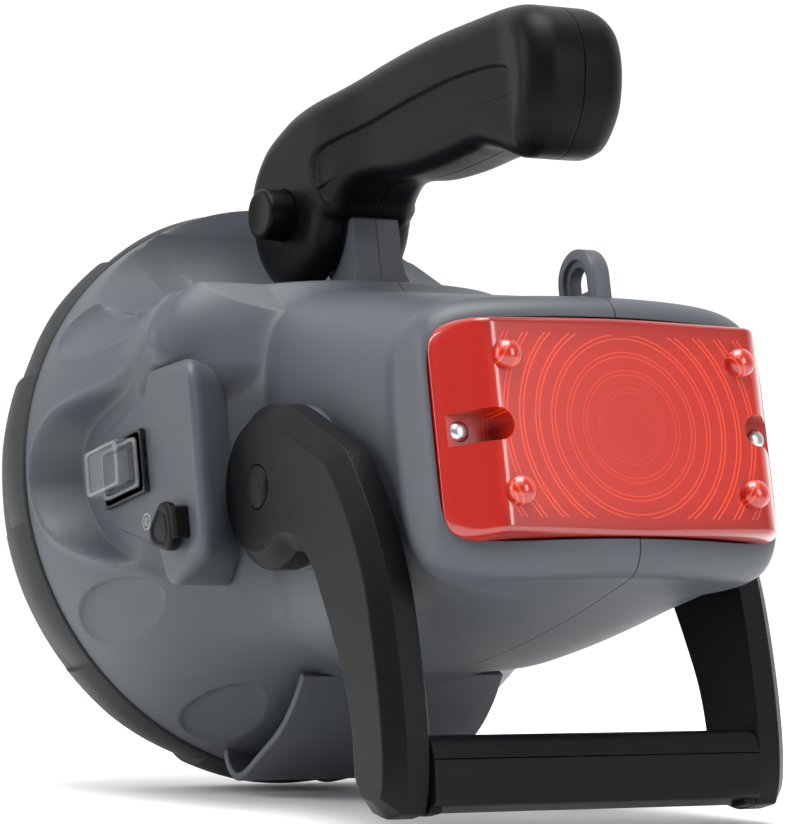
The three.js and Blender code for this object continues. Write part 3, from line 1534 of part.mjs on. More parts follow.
// Release button: a round cap on a shaft right through the drum
const lockStart = -lockLeft;
function gripButton() {
  const face = gripHalfWidth + buttonProud;
  return turnedAcross([
    [0, face], [buttonRadius - buttonEdge, face], [buttonRadius, face - buttonEdge],
    [buttonRadius, lockLeft + clearance + buttonTravel], [shaftRadius, lockLeft + clearance + buttonTravel],
    [shaftRadius, buttonEdge - shaftRight], [shaftRadius - buttonEdge, -shaftRight], [0, -shaftRight],
  ], gripAlong, gripHeight, -1, 20);
}

// Lock: a toothed collar that joins the grip and the hub until the button is pressed
function lockGear() {
  const collar = solid(slab(lockShape(0), lockStart, lockStart + lockLength));
  return collar.subtract(solid(pin(
    shaftRadius + clearance, lockStart - overrun, lockStart + lockLength + overrun, gripAlong, gripHeight,
  )));
}

// Return spring: one wire wound round the shaft
function buttonSpring() {
  const start = lockStart + lockLength + clearance + springWire;
  const end = postHalfWidth + runningGap + springPocket - clearance - springWire;
  const steps = springCurls * springSteps;
  const centres = Array.from({ length: steps + 1 }, (_, step) => {
    const angle = 2 * Math.PI * step / springSteps;
    return point(
      mix(start, end, step / steps), gripAlong + springRadius * Math.cos(angle),
      gripHeight + springRadius * Math.sin(angle),
    );
  });
  const rings = centres.map((centre, step) => {
    const angle = 2 * Math.PI * step / springSteps;
    const outward = point(0, Math.cos(angle), Math.sin(angle));
    return Array.from({ length: springSides }, (_, side) => {
      const turn = 2 * Math.PI * side / springSides;
      return centre.clone().addScaledVector(outward, springWire * Math.cos(turn))
        .add(point(-springWire * Math.sin(turn), 0, 0));
    });
  });
  return loft(rings, centres[0], centres.at(-1));
}

// Stand arm outline, seen from the side: hub, bent arm and foot
function armShape() {
  const top = Math.PI * 0.58;
  const bottom = -Math.PI * 0.42;
  const place = (alongShare, heightShare) => new THREE.Vector2(
    mix(standRear, pivotAlong, alongShare), mix(standBottom, pivotHeight, heightShare),
  );
  const hub = arcPoints(pivotAlong, pivotHeight, pivotHub, top, bottom, 14);
  const front = curvePoints([
    hub.at(-1), place(0.92, 0.81), place(0.8, 0.795), place(0.69, 0.77), place(0.6, 0.71), place(0.54, 0.61),
    place(0.47, 0.46), place(0.41, 0.31), place(0.42, 0.17), place(0.44, 0.11),
  ], 16);
  const foot = [
    new THREE.Vector2(standFront - armChamfer * 2, standBottom),
    new THREE.Vector2(standRear + armChamfer, standBottom),
    new THREE.Vector2(standRear + armChamfer / 4, mix(standBottom, pivotHeight, 0.12)),
  ];
  const rear = curvePoints([
    place(0, 0.3), place(0.02, 0.58), place(0.06, 0.7), place(0.14, 0.83), place(0.24, 0.935),
    place(0.33, 1.02), place(0.57, 1.12), place(0.8, 1.205), hub[0],
  ], 14);
  return new THREE.Shape([...hub, ...front.slice(1), ...foot, ...rear.slice(0, -1)]);
}

function armBody(side) {
  const mirrored = 2 * armInner - armOuter;
  const whole = solid(roundedSlab(armShape(), mirrored, armOuter, armChamfer, 1));
  const outside = whole.intersect(solid(block(
    point(armInner, -seamAlong, 2 * standBottom), point(armOuter + overrun, seamAlong, seamAlong),
  )));
  const tongue = solid(block(
    point(armInner - barEndGap - tongueLength, barRear + barWall + clearance + barCorner, standBottom + barWall + clearance),
    point(armInner + clearance, barFront - barWall - clearance - barCorner, barSeam - clearance),
  ));
  const recess = armOuter - capDepth;
  const head = recess - boltHeadDepth;
  const cut = without(outside.add(tongue), [
    solid(pin(capRadius + clearance, recess, armOuter + overrun, pivotAlong, pivotHeight, 24)),
    solid(pin(boltHeadRadius + clearance, head, armOuter, pivotAlong, pivotHeight, 20)),
    solid(pin(boltRadius + clearance, armInner - overrun, armOuter, pivotAlong, pivotHeight)),
    standScrewCutter(standScrewHead + clearance, standBottom - overrun, standBottom + standScrewRecess + screwHeadHeight),
    standScrewCutter(screwRadius + clearance, standBottom, standBottom + standScrewLength),
  ]);
  return side > 0 ? cut : mirrorAcross(cut);
}

function standScrewCutter(radius, low, high) {
  const cutter = new THREE.CylinderGeometry(radius, radius, high - low, 14);
  cutter.rotateX(Math.PI / 2);
  return solid(cutter.translate(standScrewAcross, standScrewAlong, (low + high) / 2));
}

// The same body on the other side of the lamp
function mirrorAcross(body) {
  const geometry = geometryOf(body);
  const position = geometry.attributes.position;
  for (let place = 0; place < position.count; place += 3) {
    const corners = [0, 2, 1].map((turn) => [
      -position.getX(place + turn), position.getY(place + turn), position.getZ(place + turn),
    ]);
    corners.forEach((corner, turn) => position.setXYZ(place + turn, ...corner));
  }
  return solid(geometry);
}

// Cross bar: two shells that meet on a seam
function barBody() {
  const section = roundedOutline([
    [barRear, barSeam, barCorner], [barRear + barCorner / 2, standBottom, barCorner],
    [barFront - barCorner / 2, standBottom, barCorner], [barFront, barSeam, barCorner],
    [barFront - barCorner / 2, barTop, barCorner], [barRear + barCorner / 2, barTop, barCorner],
  ], 3);
  const hollow = roundedOutline([
    [barRear + barWall, barSeam, barCorner], [barRear + barCorner / 2 + barWall, standBottom + barWall, barWall],
    [barFront - barCorner / 2 - barWall, standBottom + barWall, barWall], [barFront - barWall, barSeam, barCorner],
    [barFront - barCorner / 2 - barWall, barTop - barWall, barWall],
    [barRear + barCorner / 2 + barWall, barTop - barWall, barWall],
  ], 3);
  const end = armInner - barEndGap;
  const outer = solid(slab(new THREE.Shape(section), -end, end));
  return outer.subtract(solid(slab(new THREE.Shape(hollow), -end - overrun, end + overrun)));
}

function barHalf(low, high) {
  return barBody().intersect(solid(block(point(-headRadius, 0, low), point(headRadius, seamAlong, high))));
}

function standScrew(side) {
  const head = standBottom + standScrewRecess;
  const seat = head + screwHeadHeight - clearance;
  const tip = standBottom + standScrewLength - clearance;
  const screw = turned([
    [0, head], [standScrewHead, head], [standScrewHead, seat], [screwRadius, seat], [screwRadius, tip], [0, tip],
  ], screwSteps);
  return screw.rotateX(Math.PI / 2).translate(side * standScrewAcross, standScrewAlong, 0);
}

// Pivot bolts with their nuts, washers and cover caps
function pivotBolt(side) {
  const head = armOuter - capDepth - boltHeadDepth + clearance;
  const nut = bossFace - bossDepth - clearance;
  return turnedAcross([
    [0, nut - nutHeight], [nutRadius, nut - nutHeight], [nutRadius, nut], [boltRadius, nut], [boltRadius, head],
    [boltHeadRadius, head], [boltHeadRadius, head + boltHeadHeight], [0, head + boltHeadHeight],
  ], pivotAlong, pivotHeight, side, 12);
}

function pivotWasher(side) {
  const inside = bossFace + clearance;
  const outside = armInner - clearance;
  return turnedAcross([
    [boltRadius + clearance, inside], [washerRadius, inside], [washerRadius, outside],
    [boltRadius + clearance, outside],
  ], pivotAlong, pivotHeight, side, 16);
}

function hubCap(side) {
  const seat = armOuter - capDepth + clearance;
  return turnedAcross([
    [0, seat], [capRadius, seat], [capRadius, armOuter], [capRadius * 0.85, armOuter + capDome * 0.6],
    [capRadius * 0.5, armOuter + capDome], [0, armOuter + capDome],
  ], pivotAlong, pivotHeight, side, 14);
}

// The lamp: every piece as a named mesh
const lamp = new THREE.Group();
function add(name, form, material) {
  const geometry = form.isBufferGeometry ? form : geometryOf(form);
  const mesh = new THREE.Mesh(geometry, material);
  mesh.name = name;
  lamp.add(mesh);
}

const housing = housingBody();
add('housing_left', halfOf(housing, -1), housingPlastic);
add('housing_right', halfOf(housing, 1), housingPlastic);
add('front_bezel', bezel(), bezelRubber);
add('front_lens', frontLens(), clearPlastic);
add('lens_seal', lensSeal(), capRubber);
add('reflector', reflector(), mirrorCoat);
add('bulb', bulb(), clearPlastic);
add('bulb_holder', bulbHolder(), ceramic);
add('battery', battery(), batteryPlastic);
add('battery_foam', onBattery(foamBottom, foamWidth, foamLength, foamThickness), foam);
add('circuit_board', circuitBoard(), boardGreen);
add('switch_panel', switchPanel(), housingPlastic);
add('switch_body', switchBody(), switchPlastic);
add('rocker', rocker(), switchPlastic);
add('switch_boot', switchBoot(), clearPlastic);
add('charge_indicator', chargeIndicator(), whitePlastic);
add('charge_socket', chargeSocket(), switchPlastic);
add('socket_cap', socketCap(), capRubber);
add('cap_strap', capStrap(), capRubber);
add('tail_lens', tailLens(), redLens);
add('tail_lens_seal', tailLensSeal(), capRubber);
add('tail_lens_screw_left', tailLensScrew(-1), steel);
add('tail_lens_screw_right', tailLensScrew(1), steel);
add('tail_lamp_tray', tailTray(), whitePlastic);
add('tail_lamp_board', tailBoard(), boardGreen);
const grip = gripBody();
add('grip_left', halfOf(grip, -1), gripPlastic);
add('grip_right', halfOf(grip, 1), gripPlastic);
add('grip_button', gripButton(), gripPlastic);
add('lock_gear', lockGear(), steel);
add('button_spring', buttonSpring(), steel);
gripScrewPlaces().forEach((place, count) => add(`grip_screw_${count + 1}`, gripScrew(place), steel));
caseScrewPlaces().forEach((place, count) => add(`housing_screw_${count + 1}`, caseScrew(place), steel));
const upperBar = barHalf(barSeam + halfSeam, 0);
const lowerBar = barHalf(2 * standBottom, barSeam - halfSeam);
add('stand_bar_upper', upperBar, standPlastic);
add('stand_bar_lower', lowerBar, standPlastic);
[['left', -1], ['right', 1]].forEach(([name, side]) => {
  add(`stand_arm_${name}`, armBody(side), standPlastic);
  add(`stand_screw_${name}`, standScrew(side), steel);
  add(`pivot_bolt_${name}`, pivotBolt(side), steel);
  add(`pivot_washer_${name}`, pivotWasher(side), brass);
  add(`hub_cap_${name}`, hubCap(side), standPlastic);
});

// Nose-down until the foot's toe and the stand's feet share the ground
const pitch = Math.atan2(footToeHeight - standBottom, footToe - standScrewAlong);
const leaning = new THREE.Group();
lamp.rotation.x = -pitch;
leaning.add(lamp);
leaning.updateMatrixWorld(true);
const box = new THREE.Box3().setFromObject(leaning, true);
lamp.position.set(-(box.min.x + box.max.x) / 2, -(box.min.y + box.max.y) / 2, -box.min.z);

export default leaning;
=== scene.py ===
import json
import math

import bmesh
import bpy
import numpy as np
from mathutils import Matrix, Vector


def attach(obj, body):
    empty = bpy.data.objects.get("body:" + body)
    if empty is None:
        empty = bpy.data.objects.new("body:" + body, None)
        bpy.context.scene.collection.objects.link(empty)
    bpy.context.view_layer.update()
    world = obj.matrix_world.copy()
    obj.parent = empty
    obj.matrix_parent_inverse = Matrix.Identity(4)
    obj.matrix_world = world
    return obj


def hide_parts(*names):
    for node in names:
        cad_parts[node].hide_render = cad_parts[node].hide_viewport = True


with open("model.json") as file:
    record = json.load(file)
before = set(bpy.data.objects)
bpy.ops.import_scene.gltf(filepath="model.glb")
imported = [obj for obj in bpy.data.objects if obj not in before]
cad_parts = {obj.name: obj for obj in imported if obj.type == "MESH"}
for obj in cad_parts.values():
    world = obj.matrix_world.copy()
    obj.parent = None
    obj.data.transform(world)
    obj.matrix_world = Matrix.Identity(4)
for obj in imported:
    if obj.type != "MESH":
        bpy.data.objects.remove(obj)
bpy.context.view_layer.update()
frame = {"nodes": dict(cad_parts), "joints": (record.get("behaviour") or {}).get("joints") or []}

# Lamp frame, in millimetres: X to the right, Y along the beam, Z up, on the head's axis
FOOT_TOE = (174.5, -93.6)
STAND_FOOT = (43.1, -123.5)
PIVOT = (92.7, -21.7)
PITCH = math.atan2(FOOT_TOE[1] - STAND_FOOT[1], FOOT_TOE[0] - STAND_FOOT[0])
MM = 0.001
QUARTER = math.pi / 2
FAR = 1e3
JOINTS = {joint["name"]: joint for joint in frame["joints"]}

# Head, dome and tail
HEAD_RADIUS = 89.4
SEAM = 192.5
DOME_DEPTH = 85
DOME_POWER = 2.3
TAIL_WIDTH = 57
WAIST_WIDTH = 49.8
WAIST_SPAN = (15, 48)
TAIL_TOP = 14.5
CREST = (124, 46.5)
TAIL_DEPTH = 64.9
BELLY = (98, 73.2)
BELLY_RISE = 59
TAIL_POWER = 4
SHOULDER = 10
RIM = 1.4
RIM_BOW = 126
BOW_FADE = 45
BLEND = 20
TROUGH_FLOOR = 45
TROUGH_FLAT = 150
TROUGH_RADIUS = 35
CREASE = 0.7
HALF_SEAM = 0.15
LIP = 3
SKIN_COLUMNS = 380

# Tail lens
FRAME_GAP = 0.6
LENS_HALF = (54.3, 30.3)
LENS_CENTRE = -24.1
LENS_CORNER = 9
LENS_FLAT = 43.6
LENS_PROUD = 0.5
LENS_EDGE = 2
LENS_BEND = 2.6
RING_PITCH = 5.03
PRISM_CENTRE = -24.3
PEG_PLACE = (38, 18.7)
SCREW_PLACE = 48.6
NOTCH_HALF = 4.5
NOTCH_FLOOR = 10.2

# Grip
GRIP_AXIS = (148.4, 76.3)
DRUM_RADIUS = 24
GRIP_WIDTH = 17
GRIP_WAIST = 15
POST_HALF = 8
HUB_RADIUS = 17
RUNNING_GAP = 0.4

# Stand
ARM_INNER = 53.6
ARM_OUTER = 66
ARM_CHAMFER = 5
BAR_GAP = 0.3
PIVOT_RADIUS = 23.5
CAP_RADIUS = 6.15

# Switch panel
PANEL_OUT = 76
PANEL_IN = 57
PANEL_RIDGE = 136.5
PANEL_REAR = 106
SWITCH = (151, -3.75)
JACK = (125.2, -27.2)
INDICATOR = (141.8, -21.4)
ROCKER_HALF = 8.5


def linear(code):
    """The linear colour of an sRGB hex code such as 6a7078."""
    parts = [int(code[place:place + 2], 16) / 255 for place in (0, 2, 4)]
    return tuple(part / 12.92 if part <= 0.04045 else ((part + 0.055) / 1.055) ** 2.4 for part in parts) + (1,)


# Lamp millimetres to metres of the frame
TURN = np.array([
    [1, 0, 0],
    [0, math.cos(PITCH), math.sin(PITCH)],
    [0, -math.sin(PITCH), math.cos(PITCH)],
])
PLACE = np.array(JOINTS["stand_fold"]["pos_m"]) / MM - TURN @ np.array([0, *PIVOT])


def to_frame(points):
    """Lamp points in millimetres as frame points in metres."""
    return (np.asarray(points, float).reshape(-1, 3) @ TURN.T + PLACE) * MM


def smooth_step(low, high, value):
    """0 below low, 1 above high, and the cubic 3t squared less 2t cubed between."""
    share = np.clip((value - low) / (high - low), 0, 1)
    return share * share * (3 - 2 * share)


def smooth_min(first, second, width):
    """The lesser of two values, with a round of that width where they cross."""
    overlap = np.maximum(width - np.abs(first - second), 0)
    return np.minimum(first, second) - overlap ** 2 / width / 4


def smooth_max(first, second, width):
    return -smooth_min(-first, -second, width)


def mesh_of(name, points, faces):
    mesh = bpy.data.meshes.new(name)
    mesh.from_pydata([tuple(spot) for spot in points], [], [tuple(face) for face in faces])
    mesh.validate()
    return mesh


def grid_faces(rows, columns, closed):
    """Quads over a grid of points, joined round the columns where closed."""
    row, column = np.meshgrid(np.arange(rows - 1), np.arange(columns if closed else columns - 1), indexing="ij")
    after = (column + 1) % columns
    quads = np.stack([
        row * columns + column, row * columns + after, (row + 1) * columns + after, (row + 1) * columns + column,
    ], -1)
    return quads.reshape(-1, 4).tolist()


def solid_mesh(name, points, faces, sharp=35):
    """A mesh in the frame, its faces turned outwards and smooth up to an angle."""
    mesh = mesh_of(name, to_frame(points), faces)
    work = bmesh.new()
    work.from_mesh(mesh)
    bmesh.ops.remove_doubles(work, verts=work.verts, dist=2e-6)
    bmesh.ops.recalc_face_normals(work, faces=work.faces)
    work.to_mesh(mesh)
    work.free()
    mesh.shade_smooth()
    mesh.set_sharp_from_angle(angle=math.radians(sharp))
    return mesh


def loft(rings, capped=True):
    """Points and faces over rings of points, with a flat cap on each end where capped."""
    rings = np.asarray(rings, float)
    rows, columns = rings.shape[:2]
    faces = grid_faces(rows, columns, True)
    if capped:
        faces.append(list(range(columns))[::-1])
        faces.append([(rows - 1) * columns + step for step in range(columns)])
    return rings.reshape(-1, 3), faces


def thing(name, data):
    """An object of the scene round a mesh, a light or a camera."""
    made = bpy.data.objects.new(name, data)
    bpy.context.scene.collection.objects.link(made)
    return made


def piece(name, shape, material, body, slot, nodes=(), sharp=35):
    """An object of the scene from points and faces, or from a mesh, riding on its body."""
    mesh = shape if isinstance(shape, bpy.types.Mesh) else solid_mesh(name, *shape, sharp=sharp)
    made = thing(name, mesh)
    mesh.materials.clear()
    mesh.materials.append(material)
    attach(made, body)
    if nodes:
        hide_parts(*nodes)


def combined(name, base, others, operation="DIFFERENCE", sharp=35):
    """The base shape with each other shape cut away or joined on, as one mesh."""
    target = thing("work", base if isinstance(base, bpy.types.Mesh) else solid_mesh("work", *base))
    for other in others:
        tool = thing("tool", solid_mesh("tool", *other))
        step = target.modifiers.new("step", "BOOLEAN")
        step.operation = operation
        step.solver = "MANIFOLD"
        step.object = tool
        shown = target.evaluated_get(bpy.context.evaluated_depsgraph_get())
        mesh = bpy.data.meshes.new_from_object(shown)
        target.modifiers.clear()
        target.data = mesh
        bpy.data.objects.remove(tool)
    mesh = target.data
    bpy.data.objects.remove(target)
    mesh.name = name
    mesh.shade_smooth()
    mesh.set_sharp_from_angle(angle=math.radians(sharp))
    return mesh


def spread(line, steps, endpoint):
    """A line as that many points at even distances along it."""
    length = np.concatenate([[0], np.cumsum(np.linalg.norm(np.diff(line, axis=0), axis=1))])
    wanted = np.linspace(0, length[-1], steps, endpoint=endpoint)
    return np.stack([np.interp(wanted, length, line[:, axis]) for axis in (0, 1)], 1)


def curve_through(places, steps, closed=False):
    """A Catmull-Rom curve through flat places, at even steps of its length."""
    places = np.asarray(places, float)
    if closed:
        padded = np.vstack([places[-1:], places, places[:2]])
    else:
        padded = np.vstack([2 * places[0] - places[1], places, 2 * places[-1] - places[-2]])
    t = np.linspace(0, 1, 40, endpoint=False)[:, None]
    spots = []
    for a, b, c, d in zip(padded, padded[1:], padded[2:], padded[3:]):
        spots.append(0.5 * (
            2 * b + (c - a) * t + (2 * a - 5 * b + 4 * c - d) * t ** 2 + (3 * b - a - 3 * c + d) * t ** 3
        ))
    return spread(np.vstack(spots + [padded[-2:-1]]), steps, not closed)


def rounded(corners, steps):
    """A polygon with round corners, from (u, v, radius)."""
    corners = np.array(corners, float)
    share = np.linspace(0, 1, steps + 1)[:, None]
    outline = []
    for before, here, after in zip(np.roll(corners, 1, 0), corners, np.roll(corners, -1, 0)):
        corner, radius = here[:2], here[2]
        back, ahead = before[:2] - corner, after[:2] - corner
        back /= np.linalg.norm(back)
        ahead /= np.linalg.norm(ahead)
        half = math.acos(np.clip(back @ ahead, -1, 1)) / 2
        start = corner + back * radius / math.tan(half)
        finish = corner + ahead * radius / math.tan(half)
        outline.append((1 - share) ** 2 * start + 2 * share * (1 - share) * corner + share ** 2 * finish)
    return np.vstack(outline)


def even(outline, steps):
    """A closed outline as that many points at even distances."""
    return spread(np.vstack([outline, outline[:1]]), steps, False)


def rectangle(half_wide, half_high, corner, arc_steps, steps):
    """A rectangle with round corners, as points at even distances."""
    return even(rounded([
        (half_wide, half_high, corner), (half_wide, -half_high, corner),
        (-half_wide, -half_high, corner), (-half_wide, half_high, corner),
    ], arc_steps), steps)


def circle(place, radius, turns):
    """The points of a circle round a flat place at some turns."""
    return np.stack([place[0] + radius * np.cos(turns), place[1] + radius * np.sin(turns)], 1)


def bend(radius, along, wide, high, start, steps):
    """A profile's rounded edge: most of a quarter oval, up to its top."""
    turns = np.linspace(start, QUARTER, steps)
    return [(radius + wide * math.cos(turn), along + high * math.sin(turn)) for turn in turns]


def at(x, outline):
    """An outline drawn in (along, height) as points at one place on X."""
    return np.column_stack([np.full(len(outline), x), outline])


def inset(outline, distance):
    """A closed outline moved inwards by a distance along its own normals."""
    tangent = np.roll(outline, -1, 0) - np.roll(outline, 1, 0)
    tangent /= np.maximum(np.linalg.norm(tangent, axis=1), 1e-9)[:, None]
    turn = np.sum(outline[:, 0] * np.roll(outline[:, 1], -1) - np.roll(outline[:, 0], -1) * outline[:, 1])
    normal = np.stack([-tangent[:, 1], tangent[:, 0]], 1) * np.sign(turn)
    return outline + normal * distance


def distance_to(outline, spots):
    """The distance of each spot to a closed outline."""
    best = np.full(len(spots), np.inf)
    for origin, way in zip(outline, np.roll(outline, -1, 0) - outline):
        offset = spots - origin
        share = np.clip(offset @ way / max(way @ way, 1e-9), 0, 1)
        best = np.minimum(best, np.linalg.norm(offset - share[:, None] * way, axis=1))
    return best


def inside(outline, spots):
    """Whether each spot lies inside a closed outline."""
    flag = np.zeros(len(spots), bool)
    for start, end in zip(outline, np.roll(outline, -1, 0)):
        crosses = (start[1] > spots[:, 1]) != (end[1] > spots[:, 1])
        rise = end[1] - start[1] if end[1] != start[1] else 1e-9
        at = start[0] + (spots[:, 1] - start[1]) * (end[0] - start[0]) / rise
        flag ^= crosses & (spots[:, 0] < at)
    return flag


def slab(outline, low, high, edge=0.0, steps=4):
    """An outline drawn in (along, height) between two places on X, its rims rounded by edge."""
    turns = np.linspace(0, QUARTER, steps + 1) if edge else [0]
    rings = []
    for turn in reversed(turns):
        rings.append(at(low + edge - edge * math.sin(turn), inset(outline, edge * (1 - math.cos(turn)))))
    for turn in turns:
        rings.append(at(high - edge + edge * math.sin(turn), inset(outline, edge * (1 - math.cos(turn)))))
    return loft(rings)


def turned(profile, steps=96):
    """A body of revolution round the beam axis from (radius, along) pairs."""
    turns = np.linspace(0, 2 * math.pi, steps, endpoint=False)
    return loft([np.insert(circle((0, 0), radius, turns), 1, along, axis=1) for radius, along in profile], False)


def moved(shape, x, z):
    """A shape at another place on X and Z."""
    points, faces = shape
    return points + np.array([x, 0, z]), faces


def across(profile, place, side=1, steps=64):
    """A body of revolution round an axis across the lamp, from (radius, outward) pairs."""
    turns = np.linspace(0, 2 * math.pi, steps, endpoint=False)
    return loft([at(side * out, circle(place, radius, turns)) for radius, out in profile], False)


# Housing skin
def dome_radius(along):
    depth = np.clip((SEAM - along) / DOME_DEPTH, 0, 1)
    return HEAD_RADIUS * (1 - depth ** DOME_POWER) ** (1 / DOME_POWER)


def tail_section(along):
    climb = np.clip((along - SHOULDER) / (CREST[0] - SHOULDER), 0, 1)
    top = TAIL_TOP + (CREST[1] - TAIL_TOP) * climb
    sag = 1 - np.clip((along - SHOULDER) / (BELLY[0] - SHOULDER), 0, 1)
    rise = BELLY_RISE * np.clip((along - BELLY[0]) / (SEAM - BELLY[0]), 0, 1) ** 2
    bottom = rise - (BELLY[1] + (TAIL_DEPTH - BELLY[1]) * sag ** 2)
    waist = np.clip((along - WAIST_SPAN[0]) / (WAIST_SPAN[1] - WAIST_SPAN[0]), 0, 1)
    half_width = WAIST_WIDTH + (TAIL_WIDTH - WAIST_WIDTH) * (1 + np.cos(math.pi * waist)) / 2
    return (top + bottom) / 2, (top - bottom) / 2, half_width


def superellipse(angle, half_width, half_height, power):
    wide = np.abs(np.cos(angle) / half_width) ** power
    return (wide + np.abs(np.sin(angle) / half_height) ** power) ** (-1 / power)


def tail_power(along):
    """How square the tail is: nearly a rectangle at the lens, rounder towards the head."""
    return TAIL_POWER + 3 * (1 - smooth_step(SHOULDER, SHOULDER + 16, along))


def bow(x):
    return x ** 2 / RIM_BOW / 2


def skin_point(along, angle):
    """A point of the plain skin: the wider of the dome and the tail's squarish section, blended."""
    centre, half_height, half_width = tail_section(along)
    tail = superellipse(angle, half_width, half_height, tail_power(along))
    radius = dome_radius(along)
    within = radius ** 2 - (centre * np.cos(angle)) ** 2
    dome = np.where(within > 0, np.maximum(np.sqrt(np.maximum(within, 0)) - centre * np.sin(angle), 0), 0)
    reach = smooth_max(tail, dome, BLEND)
    fade = 1 - np.clip((along - SHOULDER) / (BOW_FADE - SHOULDER), 0, 1)
    x = reach * np.cos(angle)
    return np.stack([x, along + bow(x) * fade, centre + reach * np.sin(angle)], -1)


PANEL_CORNERS = [
    (106, 21.5, 9), (106, -36, 10), (131.5, -44, 6), (136.5, -29.5, 3),
    (163, -19, 8), (169.5, 9, 9), (136.5, 16, 3), (134, 21.5, 3),
]
BOWL_RIM = [
    (118, 25), (125, 27), (132, 29), (140, 26), (150, 22.5), (164, 20.5), (176, 18.5), (184, 13), (188, 5),
    (188.5, -3), (184, -14), (175, -22), (160, -30), (151, -34), (140, -42), (128, -47), (116, -42),
]
DIMPLE_TURNS = (-60, -30, 30, 58)
DIMPLE_ALONG = 167
DIMPLE_HALF = (18.5, 10)
DIMPLE_DEPTH = 3.2


def signed(outline, spots):
    """The distance to an outline, negative inside."""
    return distance_to(outline, spots) * np.where(inside(outline, spots), -1, 1)


def sink_trough(points):
    """Lowers what stands above the trough's profile: a ramp's end, a floor and a quarter round."""
    y, z = points[:, 1], points[:, 2]
    inner = np.clip(y - TROUGH_FLAT, 0, TROUGH_RADIUS)
    arc = TROUGH_FLOOR + TROUGH_RADIUS - np.sqrt(np.maximum(TROUGH_RADIUS ** 2 - inner ** 2, 0))
    ramp = CREST[1] + 0.5 + np.maximum(y - CREST[0], 0) * -1.2
    outside = (y > TROUGH_FLAT + TROUGH_RADIUS) | (y < CREST[0] - 30)
    points[:, 2] = smooth_min(z, np.where(outside, FAR, np.maximum(arc, ramp)), CREASE)


def sink_bowl(points):
    """Draws the left side in to the bowl: its floor lies on the panel's face, its wall slopes out to the rim."""
    near = (points[:, 0] < -40) & (points[:, 1] > 112) & (points[:, 1] < 192) & (np.abs(points[:, 2]) < 52)
    out, spots = -points[near, 0], points[near, 1:]
    rim = signed(even(curve_through(BOWL_RIM, 160, closed=True), 160), spots)
    panel = signed(even(rounded(PANEL_CORNERS, 10), 160), spots)
    away = np.maximum(131 - spots[:, 0], 0) ** 2 * 0.1 + np.maximum(21 - spots[:, 1], 0) ** 2 * 0.16
    arch = PANEL_OUT + 0.8 - 2 * (rim / np.where(rim > 0, 7.5, 5)) ** 2 - away
    out = smooth_max(out, arch, 5)
    share = np.clip(panel / np.maximum(panel - rim, 0.5), 0, 1)
    climb = np.clip((share - 0.66) / 0.34, 0, 1)
    floor = PANEL_OUT - 0.6
    wall = floor + np.maximum(out - floor, 0) * climb
    limit = np.where((rim > 1.2) | (share >= 1), FAR, wall)
    lip = 0.9 * np.exp(-(rim / 2) ** 2) * smooth_step(140, 150, spots[:, 0])
    points[near, 0] = -(smooth_min(out, limit, CREASE) + lip)


def sink_dimples(points):
    """Presses shallow ovals with a crisp rim at even turns round the dome."""
    turn = np.degrees(np.arctan2(points[:, 2], np.abs(points[:, 0])))
    radius = np.hypot(points[:, 0], points[:, 2])
    for place in DIMPLE_TURNS:
        offset = np.radians(turn - place) * HEAD_RADIUS / DIMPLE_HALF[1]
        reach = np.hypot((points[:, 1] - DIMPLE_ALONG) / DIMPLE_HALF[0], offset)
        depth = DIMPLE_DEPTH * np.clip(1 - reach ** 2, 0, 1) ** 0.5 * (0.62 + 0.38 * np.clip(offset, -1, 1))
        points[:, (0, 2)] *= (1 - depth / np.maximum(radius, 1))[:, None]


def stations():
    """Places along the beam, close together where the trough turns upright."""
    arc = TROUGH_FLAT + TROUGH_RADIUS * np.sin(np.linspace(0.15, QUARTER, 60))
    plain = np.concatenate([
        np.linspace(SHOULDER, 112, 84), np.linspace(112.6, 185, 150), np.linspace(185.6, SEAM, 12),
    ])
    return np.unique(np.round(np.concatenate([plain, arc]), 3))


def shoulder_rows(angles):
    """Rings between the lens frame and the full section, round a quarter turn."""
    full = skin_point(np.full(len(angles), float(SHOULDER)), angles)
    wide, high = np.cos(angles), np.sin(angles)
    _, half_height, half_width = tail_section(SHOULDER)
    slant = np.abs(high) / np.maximum(np.abs(wide), 1e-9) * half_width / half_height
    turn = np.arctan(slant ** (tail_power(SHOULDER) / 2))
    low = np.stack([
        np.sign(wide) * (LENS_HALF[0] + FRAME_GAP) * np.cos(turn) ** (1 / TAIL_POWER),
        np.zeros(len(angles)),
        LENS_CENTRE + np.sign(high) * (LENS_HALF[1] + FRAME_GAP) * np.sin(turn) ** (1 / TAIL_POWER),
    ], 1)
    rows = []
    for share in np.linspace(0, 0.97, 14):
        spread_out = math.sin(share * QUARTER)
        row = low * (1 - spread_out) + full * spread_out
        row[:, 1] = SHOULDER + bow(row[:, 0]) - (SHOULDER - RIM) * math.cos(share * QUARTER)
        rows.append(row)
    return rows


